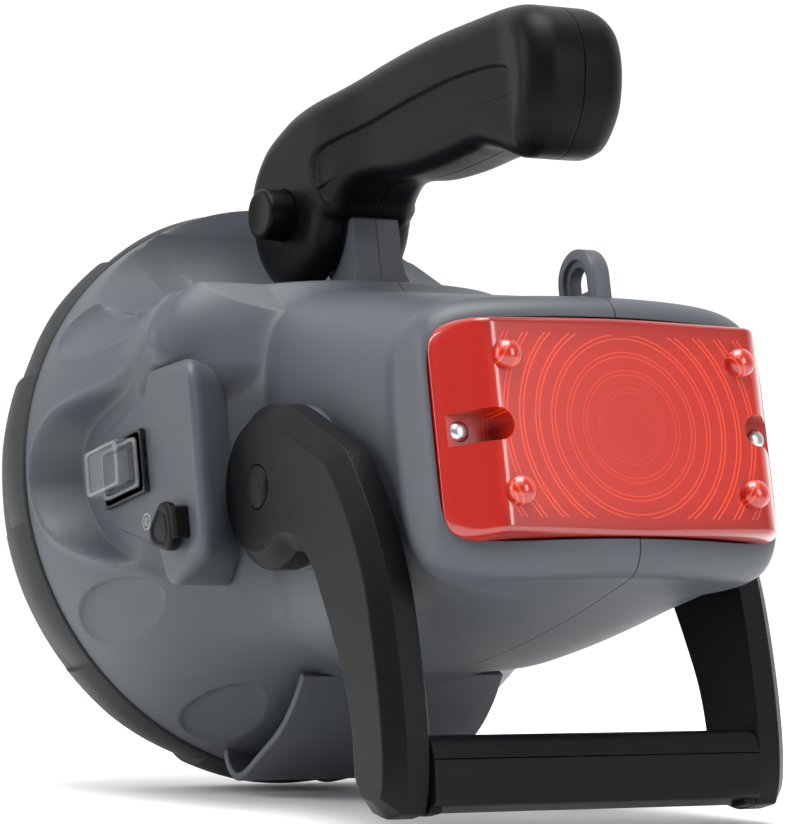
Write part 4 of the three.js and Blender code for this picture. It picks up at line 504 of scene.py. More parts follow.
def housing_half(side):
    """One half of the housing: an open skin with lips at the seam, at the lens and at the bezel."""
    angles = np.linspace(-QUARTER, QUARTER, SKIN_COLUMNS)
    if side < 0:
        angles = math.pi - angles
    rows = [skin_point(np.full(SKIN_COLUMNS, along), angles) for along in stations()]
    points = np.array(shoulder_rows(angles) + rows)
    flat = points.reshape(-1, 3)
    sink_trough(flat)
    if side < 0:
        sink_bowl(flat)
    sink_dimples(flat)
    points[..., 0] = side * np.maximum(side * points[..., 0], HALF_SEAM)
    rear = points[:1].copy()
    rear[..., 1] += 14
    front = points[-1:].copy()
    front[..., (0, 2)] *= 1 - LIP / HEAD_RADIUS
    points = np.concatenate([rear, points, front])
    centre = np.array([tail_section(np.clip(row[0, 1], SHOULDER, SEAM))[0] for row in points])
    lips = []
    for column in (0, -1):
        lip = points[:, column].copy()
        lip[:, 2] += np.sign(centre - lip[:, 2]) * LIP
        lips.append(lip[:, None])
    points = np.concatenate([lips[0], points, lips[1]], 1)
    return points.reshape(-1, 3), grid_faces(*points.shape[:2], False)


POST_REAR = 122.2
POST_TOP = 69.4
POST_FLARE = 9.5
POST_FLARE_HEIGHT = 11


def post_parts():
    """The grip post: an upright tongue whose foot flares in a quarter oval, and the hub that it carries."""
    front = GRIP_AXIS[0] + 12
    flare_top = TROUGH_FLOOR + POST_FLARE_HEIGHT
    rings = []
    for level in [*np.linspace(TROUGH_FLOOR - 3, flare_top, 22), POST_TOP - 0.6, POST_TOP]:
        drop = min(max((flare_top - level) / POST_FLARE_HEIGHT, 0), 1)
        flare = POST_FLARE * (1 - math.sqrt(max(1 - drop ** 2, 0)))
        trim = 0.5 if level == POST_TOP else 0
        half = POST_HALF + flare - trim
        rear = POST_REAR + (level - TROUGH_FLOOR) * 0.02 - flare * 0.15 + trim
        rings.append([(half, rear, level), (half, front, level), (-half, front, level), (-half, rear, level)])
    reach = DRUM_RADIUS + RUNNING_GAP
    drum = across([(0, -30), (reach, -30), (reach, 30), (0, 30)], GRIP_AXIS, steps=128)
    return loft(rings), drum, across(hub_profile(HUB_RADIUS, POST_HALF), GRIP_AXIS, steps=96)


def hub_profile(radius, half):
    return [(0, -half), (radius, -half), (radius, half), (0, half)]


def half_space(side):
    """A box that holds one side of the lamp."""
    low, high = sorted((side * 0.06, side * 200))
    return slab(np.array([(-50, -200), (260, -200), (260, 200), (-50, 200)], float), low, high)


FOOT_LINE = [
    (131, -69.5), (138.5, -77.2), (148.4, -83.9), (162.6, -89.4), (172, -92.7),
    (177.6, -93), (181.7, -90.4), (183.9, -86.5), (184.5, -82.5),
]
FOOT_WALL = 2.5
FOOT_HALF = 34.5
LOOP_ALONG = 15


def foot_parts():
    """The front foot: a bent strip of even wall."""
    outside = curve_through(FOOT_LINE, 70)
    tangent = np.gradient(outside, axis=0)
    tangent /= np.linalg.norm(tangent, axis=1)[:, None]
    inner = outside + np.stack([-tangent[:, 1], tangent[:, 0]], 1) * FOOT_WALL
    return slab(even(np.vstack([outside, inner[::-1]]), 260), -FOOT_HALF, FOOT_HALF, 0.5, 3)


def loop_parts():
    """The hanging loop: an arch with a stepped hole and a fine ridge round its middle."""
    def arch(half, top, low, steps):
        turns = np.linspace(0, math.pi, 40)
        round_top = circle((LOOP_ALONG, top - half), half, turns)
        return even(np.vstack([[(LOOP_ALONG + half, low)], round_top, [(LOOP_ALONG - half, low)]]), steps)

    cutters = [slab(arch(4.3, 24.4, 16.6, 120), -9, 9)]
    for side in (-1, 1):
        cutters.append(slab(arch(6.2, 26.5, 15.4, 120), *sorted((side * 1.9, side * 9))))
    return slab(arch(9, 29.5, 10, 180), -3, 3, 0.8, 3), cutters


# Switch panel
def panel_ring(drop, turn=QUARTER, steps=220):
    """The panel's outline at a depth, with its rear wall sliding forward as it nears the housing.

    The turn walks round the face's edge, which is small in front and wide at the rear ridge.
    """
    outline = even(rounded(PANEL_CORNERS, 10), steps)
    share = smooth_step(PANEL_RIDGE, PANEL_REAR, outline[:, 0])
    edge = 0.8 + 5.2 * share
    inward = inset(outline, 1) - outline
    along, height = (outline + inward * (edge * (1 - math.cos(turn)))[:, None]).T
    out = PANEL_OUT - edge * (1 - math.sin(turn)) - drop
    slide = 15.5 * share * (PANEL_OUT - out) / (PANEL_OUT - PANEL_IN)
    return np.column_stack([-out, along + slide, height])


def panel_parts():
    """The switch panel: its face, the edge round it and the walls that run in to the housing."""
    foot = panel_ring(0, 0)
    foot[:, 1] += panel_ring(PANEL_OUT - PANEL_IN)[:, 1] - panel_ring(6)[:, 1]
    foot[:, 0] = -PANEL_IN
    return loft([foot] + [panel_ring(0, turn) for turn in np.linspace(0, QUARTER, 9)])


def box_ring(half_along, half_up, corner, out):
    """A rectangle with round corners round the switch, that far out."""
    return at(-out, np.array(SWITCH) + rectangle(half_along, half_up, corner, 8, 80))


def boot_parts():
    """The clear hood over the rocker: a thin tapered shell, closed at its top, with round rims."""
    foot, top = PANEL_OUT + 2.2, PANEL_OUT + 9
    rings = []
    for turn in np.linspace(QUARTER, 0.2, 6):
        trim = 1.3 * (1 - math.cos(turn))
        rings.append(box_ring(10.6 - trim, 7.1 - trim, 1.7, top - 1.3 + 1.3 * math.sin(turn)))
    rings += [box_ring(11, 7.5, 1.9, foot), box_ring(10, 6.5, 1.3, foot)]
    return loft(rings + [box_ring(9.6, 6.1, 1.2, top - 1.6), box_ring(9, 5.5, 1, top - 1)])


def boot_rim_parts():
    """The thick rims of the hood, as thin bands that carry a painted highlight in a paler tint: one round its top
    and one round its foot.
    """
    rings = []
    for out, trim, wide in ((PANEL_OUT + 8.5, 0.55, 0.7), (PANEL_OUT + 2.5, -0.3, 0.8)):
        for inward, up in ((0, 0), (wide, 0), (wide, 0.6), (0, 0.6), (0, 0)):
            rings.append(box_ring(10.6 - trim - inward, 7.1 - trim - inward, 1.5, out + up))
    points = np.array(rings).reshape(-1, 3)
    band = grid_faces(len(rings) // 2, len(rings[0]), True)
    return points, band + [[spot + len(points) // 2 for spot in face] for face in band]


def rocker_parts():
    """The rocker: a dished face over a deeper belly, between two flat sides."""
    along = np.linspace(-ROCKER_HALF, ROCKER_HALF, 60)
    rise = 1.1 + 1.1 * (along / ROCKER_HALF) ** 2
    top = np.stack([along, PANEL_OUT + 1.9 + rise], 1)
    low = np.stack([along[::-1], PANEL_OUT + 1.9 - 2.6 * (1 - (along[::-1] / ROCKER_HALF) ** 2)], 1)
    outline = even(np.vstack([top, low]), 160)
    rings = []
    for height, trim in ((-5.3, 0.3), (-5.0, 0), (5.0, 0), (5.3, 0.3)):
        ring = inset(outline, trim)
        rings.append(np.column_stack([-ring[:, 1], SWITCH[0] + ring[:, 0], np.full(len(ring), SWITCH[1] + height)]))
    return loft(rings)


def jack_cap_parts():
    """The rubber cap: a disc of three soft lobes with a round edge and a sunk ring."""
    turns = np.linspace(0, 2 * math.pi, 120, endpoint=False)
    outline = circle((JACK[0] - 1.2, JACK[1]), 6.8 + 0.9 * np.cos(3 * turns + 0.4), turns)
    under = PANEL_OUT + 1.8
    top = under + 3.4
    rings = []
    for step in (0.0, 0.35, 0.7, 1.0):
        rings.append(at(-(under + 0.8 * step), inset(outline, 0.8 * (1 - math.sqrt(1 - (1 - step) ** 2)))))
    for turn in np.linspace(0, QUARTER, 5):
        rings.append(at(-(top - 0.9 + 0.9 * math.sin(turn)), inset(outline, 0.9 * (1 - math.cos(turn)))))
    centre = outline.mean(0)
    for share, drop in ((0.76, 0), (0.71, 0.4), (0.56, 0.45), (0.51, 0.1), (0.2, 0)):
        rings.append(at(-(top - drop), centre + (outline - centre) * share))
    return loft(rings)


def strap_parts():
    """The strap: a band that leaves the disc's edge, bends out and folds back to the panel in a triangle."""
    path = np.array([(-4, 4.9), (-8.2, 4.9), (-9.4, 4.1), (-9.6, 0.2), (-8.4, 0.2), (-8.2, 3.1), (-4, 3.1)])
    outline = even(np.array([JACK[0], PANEL_OUT]) + path, 120)
    rings = []
    for height, trim in ((-4.4, 0.35), (-4.0, 0), (4.6, 0), (5.0, 0.35)):
        ring = inset(outline, trim)
        rings.append(np.column_stack([-ring[:, 1], ring[:, 0], np.full(len(ring), JACK[1] + height)]))
    return loft(rings)


# Bezel
SCOOPS = 12
SCOOP_SHARES = (0, 0.004, 0.06, 0.12, 0.18, 0.24, 0.3, 0.36, 0.42, 0.48, 0.54, 0.6, 0.68, 0.76, 0.84, 0.92, 0.985)


def bezel_profile():
    """The ring's section as (radius, along, how far a scoop cuts in there)."""
    rear = SEAM + 0.3
    front = rear + 29.5
    profile = [(86, rear, 0), (89.6, rear, 0), (90.2, rear + 0.4, 0)]
    for share in (0.3, 0.6, 1):
        profile.append((90.2 + 1.3 * math.sin(share * QUARTER), rear + 0.4 + 6 * share, 0.75 * share))
    for share in np.linspace(0.08, 1, 14):
        cut = 0.75 + 0.25 * math.sin(math.pi * share) if share < 0.5 else 1 - 2 * (share - 0.5)
        profile.append((91.5 - 7.5 * share ** 1.7, rear + 6.4 + 21.6 * share, cut))
    for turn in np.linspace(0.3, QUARTER, 4):
        profile.append((84 - 1.7 * math.sin(turn), front - 1.5 * math.cos(turn), 0))
    inner = [(78.9, front), (78.5, front - 0.4), (78.5, front - 3.4), (84, front - 3.4), (86, rear)]
    return profile + [(radius, along, 0) for radius, along in inner]


def bezel_parts():
    """The front ring: a barrel whose outer face has twelve scoops, each with one crisp end."""
    profile = bezel_profile()
    rings = []
    for place in [(scoop + share) / SCOOPS for scoop in range(SCOOPS) for share in SCOOP_SHARES]:
        within = (place * SCOOPS) % 1
        depth = 2 * (1 - within / 0.6) ** 1.3 if 0.003 < within < 0.6 else 0
        angle = 2 * math.pi * (place - 20 / 360 + 13 / 360)
        rings.append([
            (-(radius - depth * cut) * math.cos(angle), along, (radius - depth * cut) * math.sin(angle))
            for radius, along, cut in profile
        ])
    points = np.array(rings + rings[:1])
    return points.reshape(-1, 3), grid_faces(*points.shape[:2], False)


# Tail lens
def lens_front(x):
    """How far forward of the rim plane the lens face lies: flat in the middle, sloping down both sides."""
    drop = RIM + bow(LENS_HALF[0]) + LENS_PROUD - 0.8
    share = (np.abs(x) - LENS_FLAT) / (LENS_HALF[0] - LENS_FLAT)
    return -LENS_PROUD + smooth_max(np.zeros_like(x), drop * share, LENS_BEND)


def lens_parts():
    """The tail lens: its front, a round edge, and a rim that follows the bow of the housing's end."""
    def ring(spots, along):
        return np.column_stack([spots[:, 0], along, LENS_CENTRE + spots[:, 1]])

    def face(spots):
        return np.minimum(lens_front(spots[:, 0]), RIM + bow(spots[:, 0]) - 0.4)

    outline = rectangle(*LENS_HALF, LENS_CORNER, 12, 480)
    level = RIM + bow(outline[:, 0])
    rim = level - 0.4
    rings = [ring(outline, level + 3), ring(outline, level - 0.3)]
    for turn in np.linspace(0, QUARTER, 6):
        spots = inset(outline, LENS_EDGE * (1 - math.cos(turn)))
        rings.append(ring(spots, rim + (face(spots) - rim) * math.sin(turn)))
    base = inset(outline, LENS_EDGE)
    for share in np.linspace(0, 1, 46)[1:]:
        spots = base * (1 - share * 0.985)
        rings.append(ring(spots, face(spots)))
    return loft(rings)


def notch_parts(side):
    """The U-shaped recess for a lens screw, open at the side."""
    arc = circle((42.2, 0), NOTCH_HALF, np.linspace(QUARTER, 3 * QUARTER, 30))
    x, z = even(np.vstack([[(66, NOTCH_HALF)], arc, [(66, -NOTCH_HALF)]]), 140).T
    return loft([
        np.column_stack([side * x, np.full(140, along), LENS_CENTRE - 0.3 + z]) for along in (-14, NOTCH_FLOOR)
    ])


# Grip
GRIP_BACK = [
    (170.6, 90.6), (160.4, 100.9), (147, 105.6), (134.6, 107.4), (115, 107.3), (92, 107.8), (64, 107), (40, 104.8),
    (22, 102.6), (11.5, 99.4), (5.2, 94), (2.6, 87), (2.9, 78), (6.2, 68.5), (12, 61.5), (18, 58), (25.5, 59),
    (36, 64.4), (45, 68), (56, 68.6), (73, 69.6), (89, 71.8), (103, 75.3), (112, 76), (118.5, 73.6), (122.4, 70.2),
]
GRIP_RECESS = [
    (18.5, 48), (19.6, 62), (18.4, 72), (17.2, 79.5), (20.6, 84.3), (32, 87.5), (50.3, 89.8), (73.4, 90.8),
    (95.5, 90.9), (114, 91.2), (125, 90.4), (129.2, 86), (127.4, 78), (122.5, 68), (117, 48),
]


def grip_outline(steps):
    drum = circle(GRIP_AXIS, DRUM_RADIUS, np.linspace(math.radians(200), math.radians(362), 60))
    back = curve_through([tuple(drum[-1])] + GRIP_BACK + [tuple(drum[0])], 260)
    return even(np.vstack([drum, back[1:-1]]), steps)


def grip_half_width(spots, depth):
    """Half the grip's width: full at the drum and the butt, waisted between, its rims round, its side sunk."""
    along = spots[:, 0]
    butt = 1 - smooth_step(9, 24, along)
    drum = smooth_step(96, 128, along)
    half = GRIP_WAIST + (GRIP_WIDTH - GRIP_WAIST) * np.maximum(0.85 * butt, drum)
    rim = 7.5 + 2 * butt
    share = np.clip(depth / rim, 0, 1)
    round_off = half - rim + rim * np.sqrt(np.maximum(1 - (1 - share) ** 2, 0))
    recess = even(curve_through(GRIP_RECESS, 300, closed=True), 300)
    sunk = smooth_step(0.5, -1.4, signed(recess, spots))
    fade = smooth_step(0, 7, depth)
    return np.maximum(round_off - (0.35 + 1.15 * fade) * sunk, 1)


def grip_half(side):
    """A half of the grip: rings that shrink from its outline to a spine inside it."""
    steps = 420
    outline = grip_outline(steps)
    spine_along = np.clip(outline[:, 0], 20, GRIP_AXIS[0] - 1)
    spine_height = np.interp(spine_along, [20, 45, 95, 120, GRIP_AXIS[0]], [76, 79, 81, 80, GRIP_AXIS[1] + 1])
    spine = np.stack([spine_along, spine_height], 1)
    rings = [at(side * HALF_SEAM, outline)]
    for share in [0, *np.linspace(0.012, 0.998, 54) ** 1.25]:
        spots = outline * (1 - share) + spine * share
        depth = distance_to(outline, spots) if share > 0 else np.zeros(steps)
        rings.append(at(side * grip_half_width(spots, depth), spots))
    return loft(rings)


def slot_parts():
    """The slot that lets the grip swing past its post."""
    arc = circle(GRIP_AXIS, DRUM_RADIUS + 8, np.linspace(math.radians(196), math.radians(391), 60))
    half = POST_HALF + 3 * RUNNING_GAP
    return slab(np.vstack([[GRIP_AXIS], arc]), -half, half)


def button_parts():
    face = GRIP_WIDTH + 8.5
    profile = [(0, 13.7), (7.8, 13.7), (7.8, face - 1.3)] + bend(6.5, face - 1.3, 1.3, 1.3, 0.2, 6)
    return across(profile + [(5.9, face), (5.2, face - 0.35), (0, face - 0.35)], GRIP_AXIS, -1, 72)


def shaft_end_parts():
    profile = [(0, 10), (4, 10), (4, 25.2)] + bend(2.9, 25.2, 1.1, 1.1, 0.2, 5)
    return across(profile + [(0, 26.3)], GRIP_AXIS, 1, 48)


# Stand
ARM_REAR = [
    (92, 1.8), (80.9, -0.4), (66, -9.5), (52, -18.6), (47.2, -24.5), (40.1, -38.5),
    (35.9, -51), (33.3, -63.1), (32, -80), (31.8, -95), (32.6, -108), (34.6, -117.5),
]
ARM_FOOT = [(37.6, -123.3), (42, -123.5), (46.5, -123.3), (53.5, -120.5)]
ARM_FRONT = [
    (57.4, -113.5), (57.9, -106), (57.2, -98.3), (58.6, -86), (62.4, -73), (66.6, -61), (70.5, -51.5),
    (75.5, -44.9), (81, -42.6),
]
ARM_SPINE = [
    (92.7, -21.7), (80, -22.5), (66, -30), (56, -41.5), (50.5, -54), (47.5, -68), (45.5, -82), (44.8, -95),
    (45.2, -105), (45.5, -112),
]


def arm_outline():
    """The arm's edge: three quarters of the hub, the rear edge, the foot and the front edge up to the notch."""
    hub = circle(PIVOT, PIVOT_RADIUS, np.linspace(math.radians(-115), math.radians(91), 90))
    rear = curve_through([tuple(hub[-1])] + ARM_REAR + ARM_FOOT[:1], 200)
    foot = curve_through(ARM_FOOT, 30)
    front = curve_through(ARM_FOOT[-1:] + ARM_FRONT + [tuple(hub[0])], 200)
    return even(np.vstack([hub, rear[1:-1], foot, front[1:-1]]), 560)


def arm_parts(side):
    """An arm: a plate with a flat chamfer round its outer face, as rings that shrink from its edge to its spine."""
    outline = arm_outline()
    spine = curve_through(ARM_SPINE, 300)
    spine = spine[np.argmin(np.linalg.norm(outline[:, None] - spine[None], axis=2), axis=1)]
    rings = [at(side * ARM_INNER, inset(outline, 0.6)), at(side * (ARM_INNER + 0.6), outline)]
    rings.append(at(side * (ARM_OUTER - ARM_CHAMFER - 0.5), outline))
    for share in np.linspace(0.004, 0.985, 44):
        spots = outline + (spine - outline) * share
        out = ARM_OUTER - np.maximum(ARM_CHAMFER - distance_to(outline, spots), 0)
        rings.append(at(side * smooth_min(out, ARM_OUTER, 0.4), spots))
    return loft(rings)


def bar_half(low, high):
    """Half of the cross bar: the part of its section between two heights."""
    section = even(rounded([
        (31.6, -109.4, 4), (33.1, -121.8, 3), (50.9, -121.8, 3),
        (52.4, -109.4, 4), (50.9, -102.3, 4), (33.1, -102.3, 4),
    ], 8), 240)
    section[:, 1] = np.clip(section[:, 1], low, high)
    return slab(section, BAR_GAP - ARM_INNER, ARM_INNER - BAR_GAP)


def nub_parts(side):
    """A nub under the end of the cross bar, on the inner face of an arm."""
    section = even(rounded([(36, -119.5, 1), (36.3, -123.4, 1), (42.7, -123.4, 1), (43, -119.5, 1)], 6), 96)
    return slab(section, *sorted((side * (ARM_INNER - 4.3), side * (ARM_INNER - BAR_GAP))), 0.6, 3)


# Optics
DISH_RADIUS = 80
DISH_FOCUS = 32


def reflector_parts():
    """The mirror: a parabola with an even wall and a flange."""
    flange = 211.8
    vertex = flange - DISH_RADIUS ** 2 / DISH_FOCUS / 4
    radii = np.linspace(10, DISH_RADIUS, 40)
    inner = [(radius, vertex + radius ** 2 / (4 * DISH_FOCUS)) for radius in radii]
    outer = [(radius, along - 1.8) for radius, along in inner[::-1]]
    return turned(inner + [(86.5, flange), (86.5, flange - 1.6)] + outer + inner[:1], 128)


def front_lens_parts():
    """The front window: an even pane, bowed a little to the front."""
    radii = np.linspace(0, DISH_RADIUS, 24)
    back = [(radius, 1.6 * (1 - (radius / DISH_RADIUS) ** 2)) for radius in radii]
    front = [(radius, 218.4 + rise) for radius, rise in back]
    return turned(front + [(radius, 215.4 + rise) for radius, rise in back[::-1]], 128)


def bulb_parts():
    glass = [(0, 155), (6, 155), (6, 163), (7.5, 166), (7.5, 187)]
    return turned(glass + bend(0, 187, 7.5, 8, 0.2, 8), 48)


# Materials
def feed(socket, value):
    """Sets a socket to a value, or links it to another socket."""
    if isinstance(value, bpy.types.NodeSocket):
        socket.id_data.links.new(value, socket)
    else:
        socket.default_value = value


def dress(node, **values):
    """Feeds a node's inputs or sets its other settings, their names with underscores for spaces."""
    for name, value in values.items():
        label = name.replace("_", " ")
        if label in node.inputs:
            feed(node.inputs[label], value)
        else:
            setattr(node, name, value)
    return node


def add(tree, kind, **values):
    return dress(tree.nodes.new("ShaderNode" + kind), **values)


def material(name):
    made = bpy.data.materials.new(name)
    made.use_nodes = True
    made.node_tree.nodes.clear()
    shader = add(made.node_tree, "BsdfPrincipled")
    add(made.node_tree, "OutputMaterial", Surface=shader.outputs[0])
    return made, made.node_tree, shader


def mixed(tree, share, first, second):
    """The first colour turning into the second by a share."""
    node = add(tree, "Mix", data_type="RGBA")
    for place, value in ((0, share), (6, first), (7, second)):
        feed(node.inputs[place], value)
    return node.outputs[2]


CLOUD_SPREAD = 0.06
SOFT_EDGE = 0.0006


def moulded(name, code, roughness, grain, depth, gleam=0.5):
    """Moulded plastic or rubber: fine grain in the bump, a faint cloud in the colour and in the roughness."""
    made, tree, shader = material(name)
    where = add(tree, "TexCoord").outputs["Object"]
    fine = add(tree, "TexNoise", Scale=grain, Detail=3.0, Roughness=0.6, Vector=where).outputs[0]
    cloud = add(tree, "TexNoise", Scale=14.0, Detail=4.0, Vector=where).outputs[0]
    soft = add(tree, "Bevel", samples=4, Radius=SOFT_EDGE).outputs[0]
    bump = add(tree, "Bump", Strength=0.5, Distance=depth, Height=fine, Normal=soft)
    base = linear(code)[:3]
    dark, pale = (tuple(min(part * (1 + way * CLOUD_SPREAD), 1) for part in base) + (1,) for way in (-1, 1))
    gloss = add(tree, "MapRange", From_Min=0.3, From_Max=0.7, Value=cloud,
                To_Min=roughness - 0.03, To_Max=roughness + 0.04)
    dress(shader, Base_Color=mixed(tree, cloud, dark, pale), Roughness=gloss.outputs[0], Normal=bump.outputs[0],
          Specular_IOR_Level=gleam)
    return made


def grained(name, scale, strength, distance, code, **values):
    """A material with a fine bump."""
    made, tree, shader = material(name)
    where = add(tree, "TexCoord").outputs["Object"]
    grain = add(tree, "TexNoise", Scale=scale, Detail=2.0, Vector=where).outputs[0]
    bump = add(tree, "Bump", Strength=strength, Distance=distance, Height=grain).outputs[0]
    dress(shader, Normal=bump, Base_Color=linear(code), **values)
    return made


def metal(name, code, roughness):
    return grained(name, 900.0, 0.2, 0.0001, code, Roughness=roughness, Metallic=1)


def clear(name, code, roughness):
    return grained(name, 260.0, 0.05, 0.0002, code, Roughness=roughness, Transmission_Weight=0.95, IOR=1.49)


def tinted(name, code, cover, roughness):
    """Thin clear plastic: a part of the light goes straight through, the rest shows the tint."""
    return grained(name, 220.0, 0.05, 0.0002, code, Roughness=roughness, Alpha=cover)


FACE_SCALE = 100
LINE_AT = 0.12
LINE_HALF = 0.034


def red_lens():
    """Deep red plastic with fine round prisms: pairs of lines at even radii on the flat front only, made bright
    with a painted highlight and a light bump; the front's top and bottom and the sloping sides are darker reds as
    painted shade.
    """
    made, tree, shader = material("red_lens")

    def calculate(operation, *values):
        node = add(tree, "Math", operation=operation)
        for socket, value in zip(node.inputs, values):
            feed(socket, value)
        return node.outputs[0]

    def ramp(value, low, high):
        return add(tree, "MapRange", From_Min=low, From_Max=high, Value=value).outputs[0]

    where = add(tree, "UVMap", uv_map="face").outputs[0]
    split = add(tree, "SeparateXYZ", Vector=where)
    radius = add(tree, "VectorMath", operation="LENGTH", Vector=where).outputs["Value"]
    sideways = calculate("ABSOLUTE", split.outputs[0])
    height = calculate("ABSOLUTE", split.outputs[1])
    saw = calculate("PINGPONG", calculate("MULTIPLY", radius, FACE_SCALE / RING_PITCH), 0.5)
    line = calculate("MULTIPLY", calculate("COMPARE", saw, LINE_AT, LINE_HALF), ramp(radius, 0.05, 0.33))
    line = calculate("MULTIPLY", line, calculate("LESS_THAN", sideways, (LENS_FLAT - 1.5) / FACE_SCALE))
    line = calculate("MULTIPLY", line, calculate("LESS_THAN", height, 0.255))
    # Painted shade: the front darkens from its middle to its top and bottom, and the sloping sides get a slightly
    # darker red
    front = mixed(tree, ramp(height, 0.2, 0.3), linear("a01605"), linear("820a03"))
    base = mixed(tree, calculate("LESS_THAN", sideways, LENS_FLAT / FACE_SCALE), linear("980f02"), front)
    # Painted highlight: the prism lines are mixed towards a bright orange
    painted_glint = mixed(tree, calculate("MULTIPLY", line, 0.6), base, linear("f4501c"))
    bump = add(tree, "Bump", Strength=0.25, Distance=0.0002, Height=line).outputs[0]
    dress(shader, Base_Color=painted_glint, Normal=bump, Roughness=0.3, Coat_Weight=0.8, Coat_Roughness=0.05)
    return made

HOUSING = moulded("housing_plastic", "40444a", 0.44, 2600, 0.00012, gleam=0.4)
BEZEL = moulded("bezel_rubber", "202223", 0.6, 3200, 0.00016, gleam=0.3)
GRIP = moulded("grip_plastic", "060607", 0.36, 3600, 0.00012, gleam=0.1)
STAND = moulded("stand_plastic", "09090b", 0.38, 1500, 0.0003, gleam=0.13)
RUBBER = moulded("cap_rubber", "060607", 0.4, 2200, 0.0001, gleam=0.12)
SWITCH_BLACK = moulded("switch_plastic", "1d1e20", 0.3, 2600, 0.00005, gleam=0.3)
LAMP_GREY = moulded("lamp_grey", "5a5d60", 0.15, 2600, 0.00002)
RIM_GREY = moulded("rim_grey", "8d9194", 0.3, 2600, 0.00002)
WHITE = moulded("white_plastic", "d9dad8", 0.35, 2600, 0.00005)
CERAMIC = moulded("ceramic", "e6e0d2", 0.6, 2000, 0.0001)
BATTERY = moulded("battery_plastic", "26282c", 0.5, 1500, 0.0001)
FOAM = moulded("foam", "3a3a3a", 0.95, 900, 0.0004)
BOARD = moulded("board_green", "1f5a3a", 0.4, 1800, 0.00004)
STEEL = metal("steel", "c4c6ca", 0.3)
BRASS = metal("brass", "b8954a", 0.35)
MIRROR = metal("mirror_coat", "e4e4e6", 0.06)
CLEAR = clear("clear_plastic", "eef2f4", 0.03)
SMOKE = tinted("smoke_plastic", "8e9397", 0.12, 0.08)
# Painted highlight: a paler, more covering tint for the bands on the hood's rims
PAINTED_HOOD_GLINT = tinted("hood_rim_painted_glint", "a4a9ad", 0.24, 0.1)
RED = red_lens()

for finish, names in (
    (RUBBER, "lens_seal tail_lens_seal"), (CERAMIC, "bulb_holder"), (BATTERY, "battery"), (FOAM, "battery_foam"),
    (BOARD, "circuit_board tail_lamp_board"), (SWITCH_BLACK, "switch_body charge_socket"),
    (WHITE, "tail_lamp_tray"), (BRASS, "pivot_washer_left pivot_washer_right"),
    (STEEL, "lock_gear button_spring pivot_bolt_left pivot_bolt_right stand_screw_left stand_screw_right"),
    (STEEL, "housing_screw_1 housing_screw_2 housing_screw_3 housing_screw_4"),
    (STEEL, "grip_screw_1 grip_screw_2 grip_screw_3"),
):
    for name in names.split():
        inner = frame["nodes"][name].data
        inner.materials.clear()
        inner.materials.append(finish)
SIDES = (("left", -1), ("right", 1))
ON_HOUSING = (HOUSING, "housing", "housing_plastic")
ON_GRIP = (GRIP, "grip", "grip_plastic")
ON_STAND = (STAND, "stand", "stand_plastic")

# Housing and what is moulded with it
for name, side in SIDES:
    piece(f"skin_{name}", housing_half(side), *ON_HOUSING, [f"housing_{name}"], sharp=50)
tongue, drum, hub = post_parts()
post = combined("post", tongue, [drum])
for name, side in SIDES:
    half = combined(f"post_{name}", post.copy(), [half_space(side)], "INTERSECT")
    piece(f"post_{name}", half, *ON_HOUSING)
piece("post_hub", hub, *ON_HOUSING)
piece("foot", foot_parts(), *ON_HOUSING)
piece("hanging_loop", combined("hanging_loop", *loop_parts()), *ON_HOUSING)
BOSS = [(0, 40), (PIVOT_RADIUS, 40), (PIVOT_RADIUS, 51.6), (PIVOT_RADIUS - 0.4, 52), (0, 52)]
for name, side in SIDES:
    piece(f"pivot_boss_{name}", across(BOSS, PIVOT, side, 96), *ON_HOUSING)
piece("panel", panel_parts(), *ON_HOUSING, ["switch_panel"], sharp=50)

# Bezel and optics
piece("bezel", bezel_parts(), BEZEL, "housing", "bezel_rubber", ["front_bezel"], sharp=28)
piece("mirror", reflector_parts(), MIRROR, "housing", "mirror_coat", ["reflector"])
piece("window", front_lens_parts(), CLEAR, "housing", "clear_plastic", ["front_lens"])
piece("bulb_glass", bulb_parts(), CLEAR, "housing", "clear_plastic", ["bulb"])

# Switch and charging inlet
FRAME = [(12.9, 9.45, 2, PANEL_OUT - 1), (12.9, 9.45, 2, PANEL_OUT + 1.2), (12.3, 8.85, 1.8, PANEL_OUT + 1.9)]
frame_mesh = loft([box_ring(*ring) for ring in FRAME])
piece("switch_frame", frame_mesh, SWITCH_BLACK, "housing", "switch_plastic")
piece("rocker_key", rocker_parts(), SWITCH_BLACK, "switch_rocker", "switch_plastic", ["rocker"])
# Painted highlight: pale bands on the hood's rims
piece("boot_rims", boot_rim_parts(), PAINTED_HOOD_GLINT, "housing", "clear_plastic")
piece("boot", boot_parts(), SMOKE, "housing", "clear_plastic", ["switch_boot"])
LAMP = [(0, 0.9), (1.1, 0.7), (1.7, 0.2), (2, -0.4), (2, -6)]
LAMP_RIM = [(2, -1), (2.5, -1), (2.5, 0.2), (2.1, 0.2), (2, -1)]
lamp, rim = (
    across([(radius, PANEL_OUT + out) for radius, out in profile], INDICATOR, -1, 40)
    for profile in (LAMP, LAMP_RIM)
)
piece("indicator", lamp, LAMP_GREY, "housing", "white_plastic", ["charge_indicator"])
piece("indicator_rim", rim, RIM_GREY, "housing", "white_plastic")
piece("inlet_lid", jack_cap_parts(), RUBBER, "inlet_cap", "cap_rubber", ["socket_cap"])
piece("inlet_strap", strap_parts(), RUBBER, "inlet_cap", "cap_rubber", ["cap_strap"])

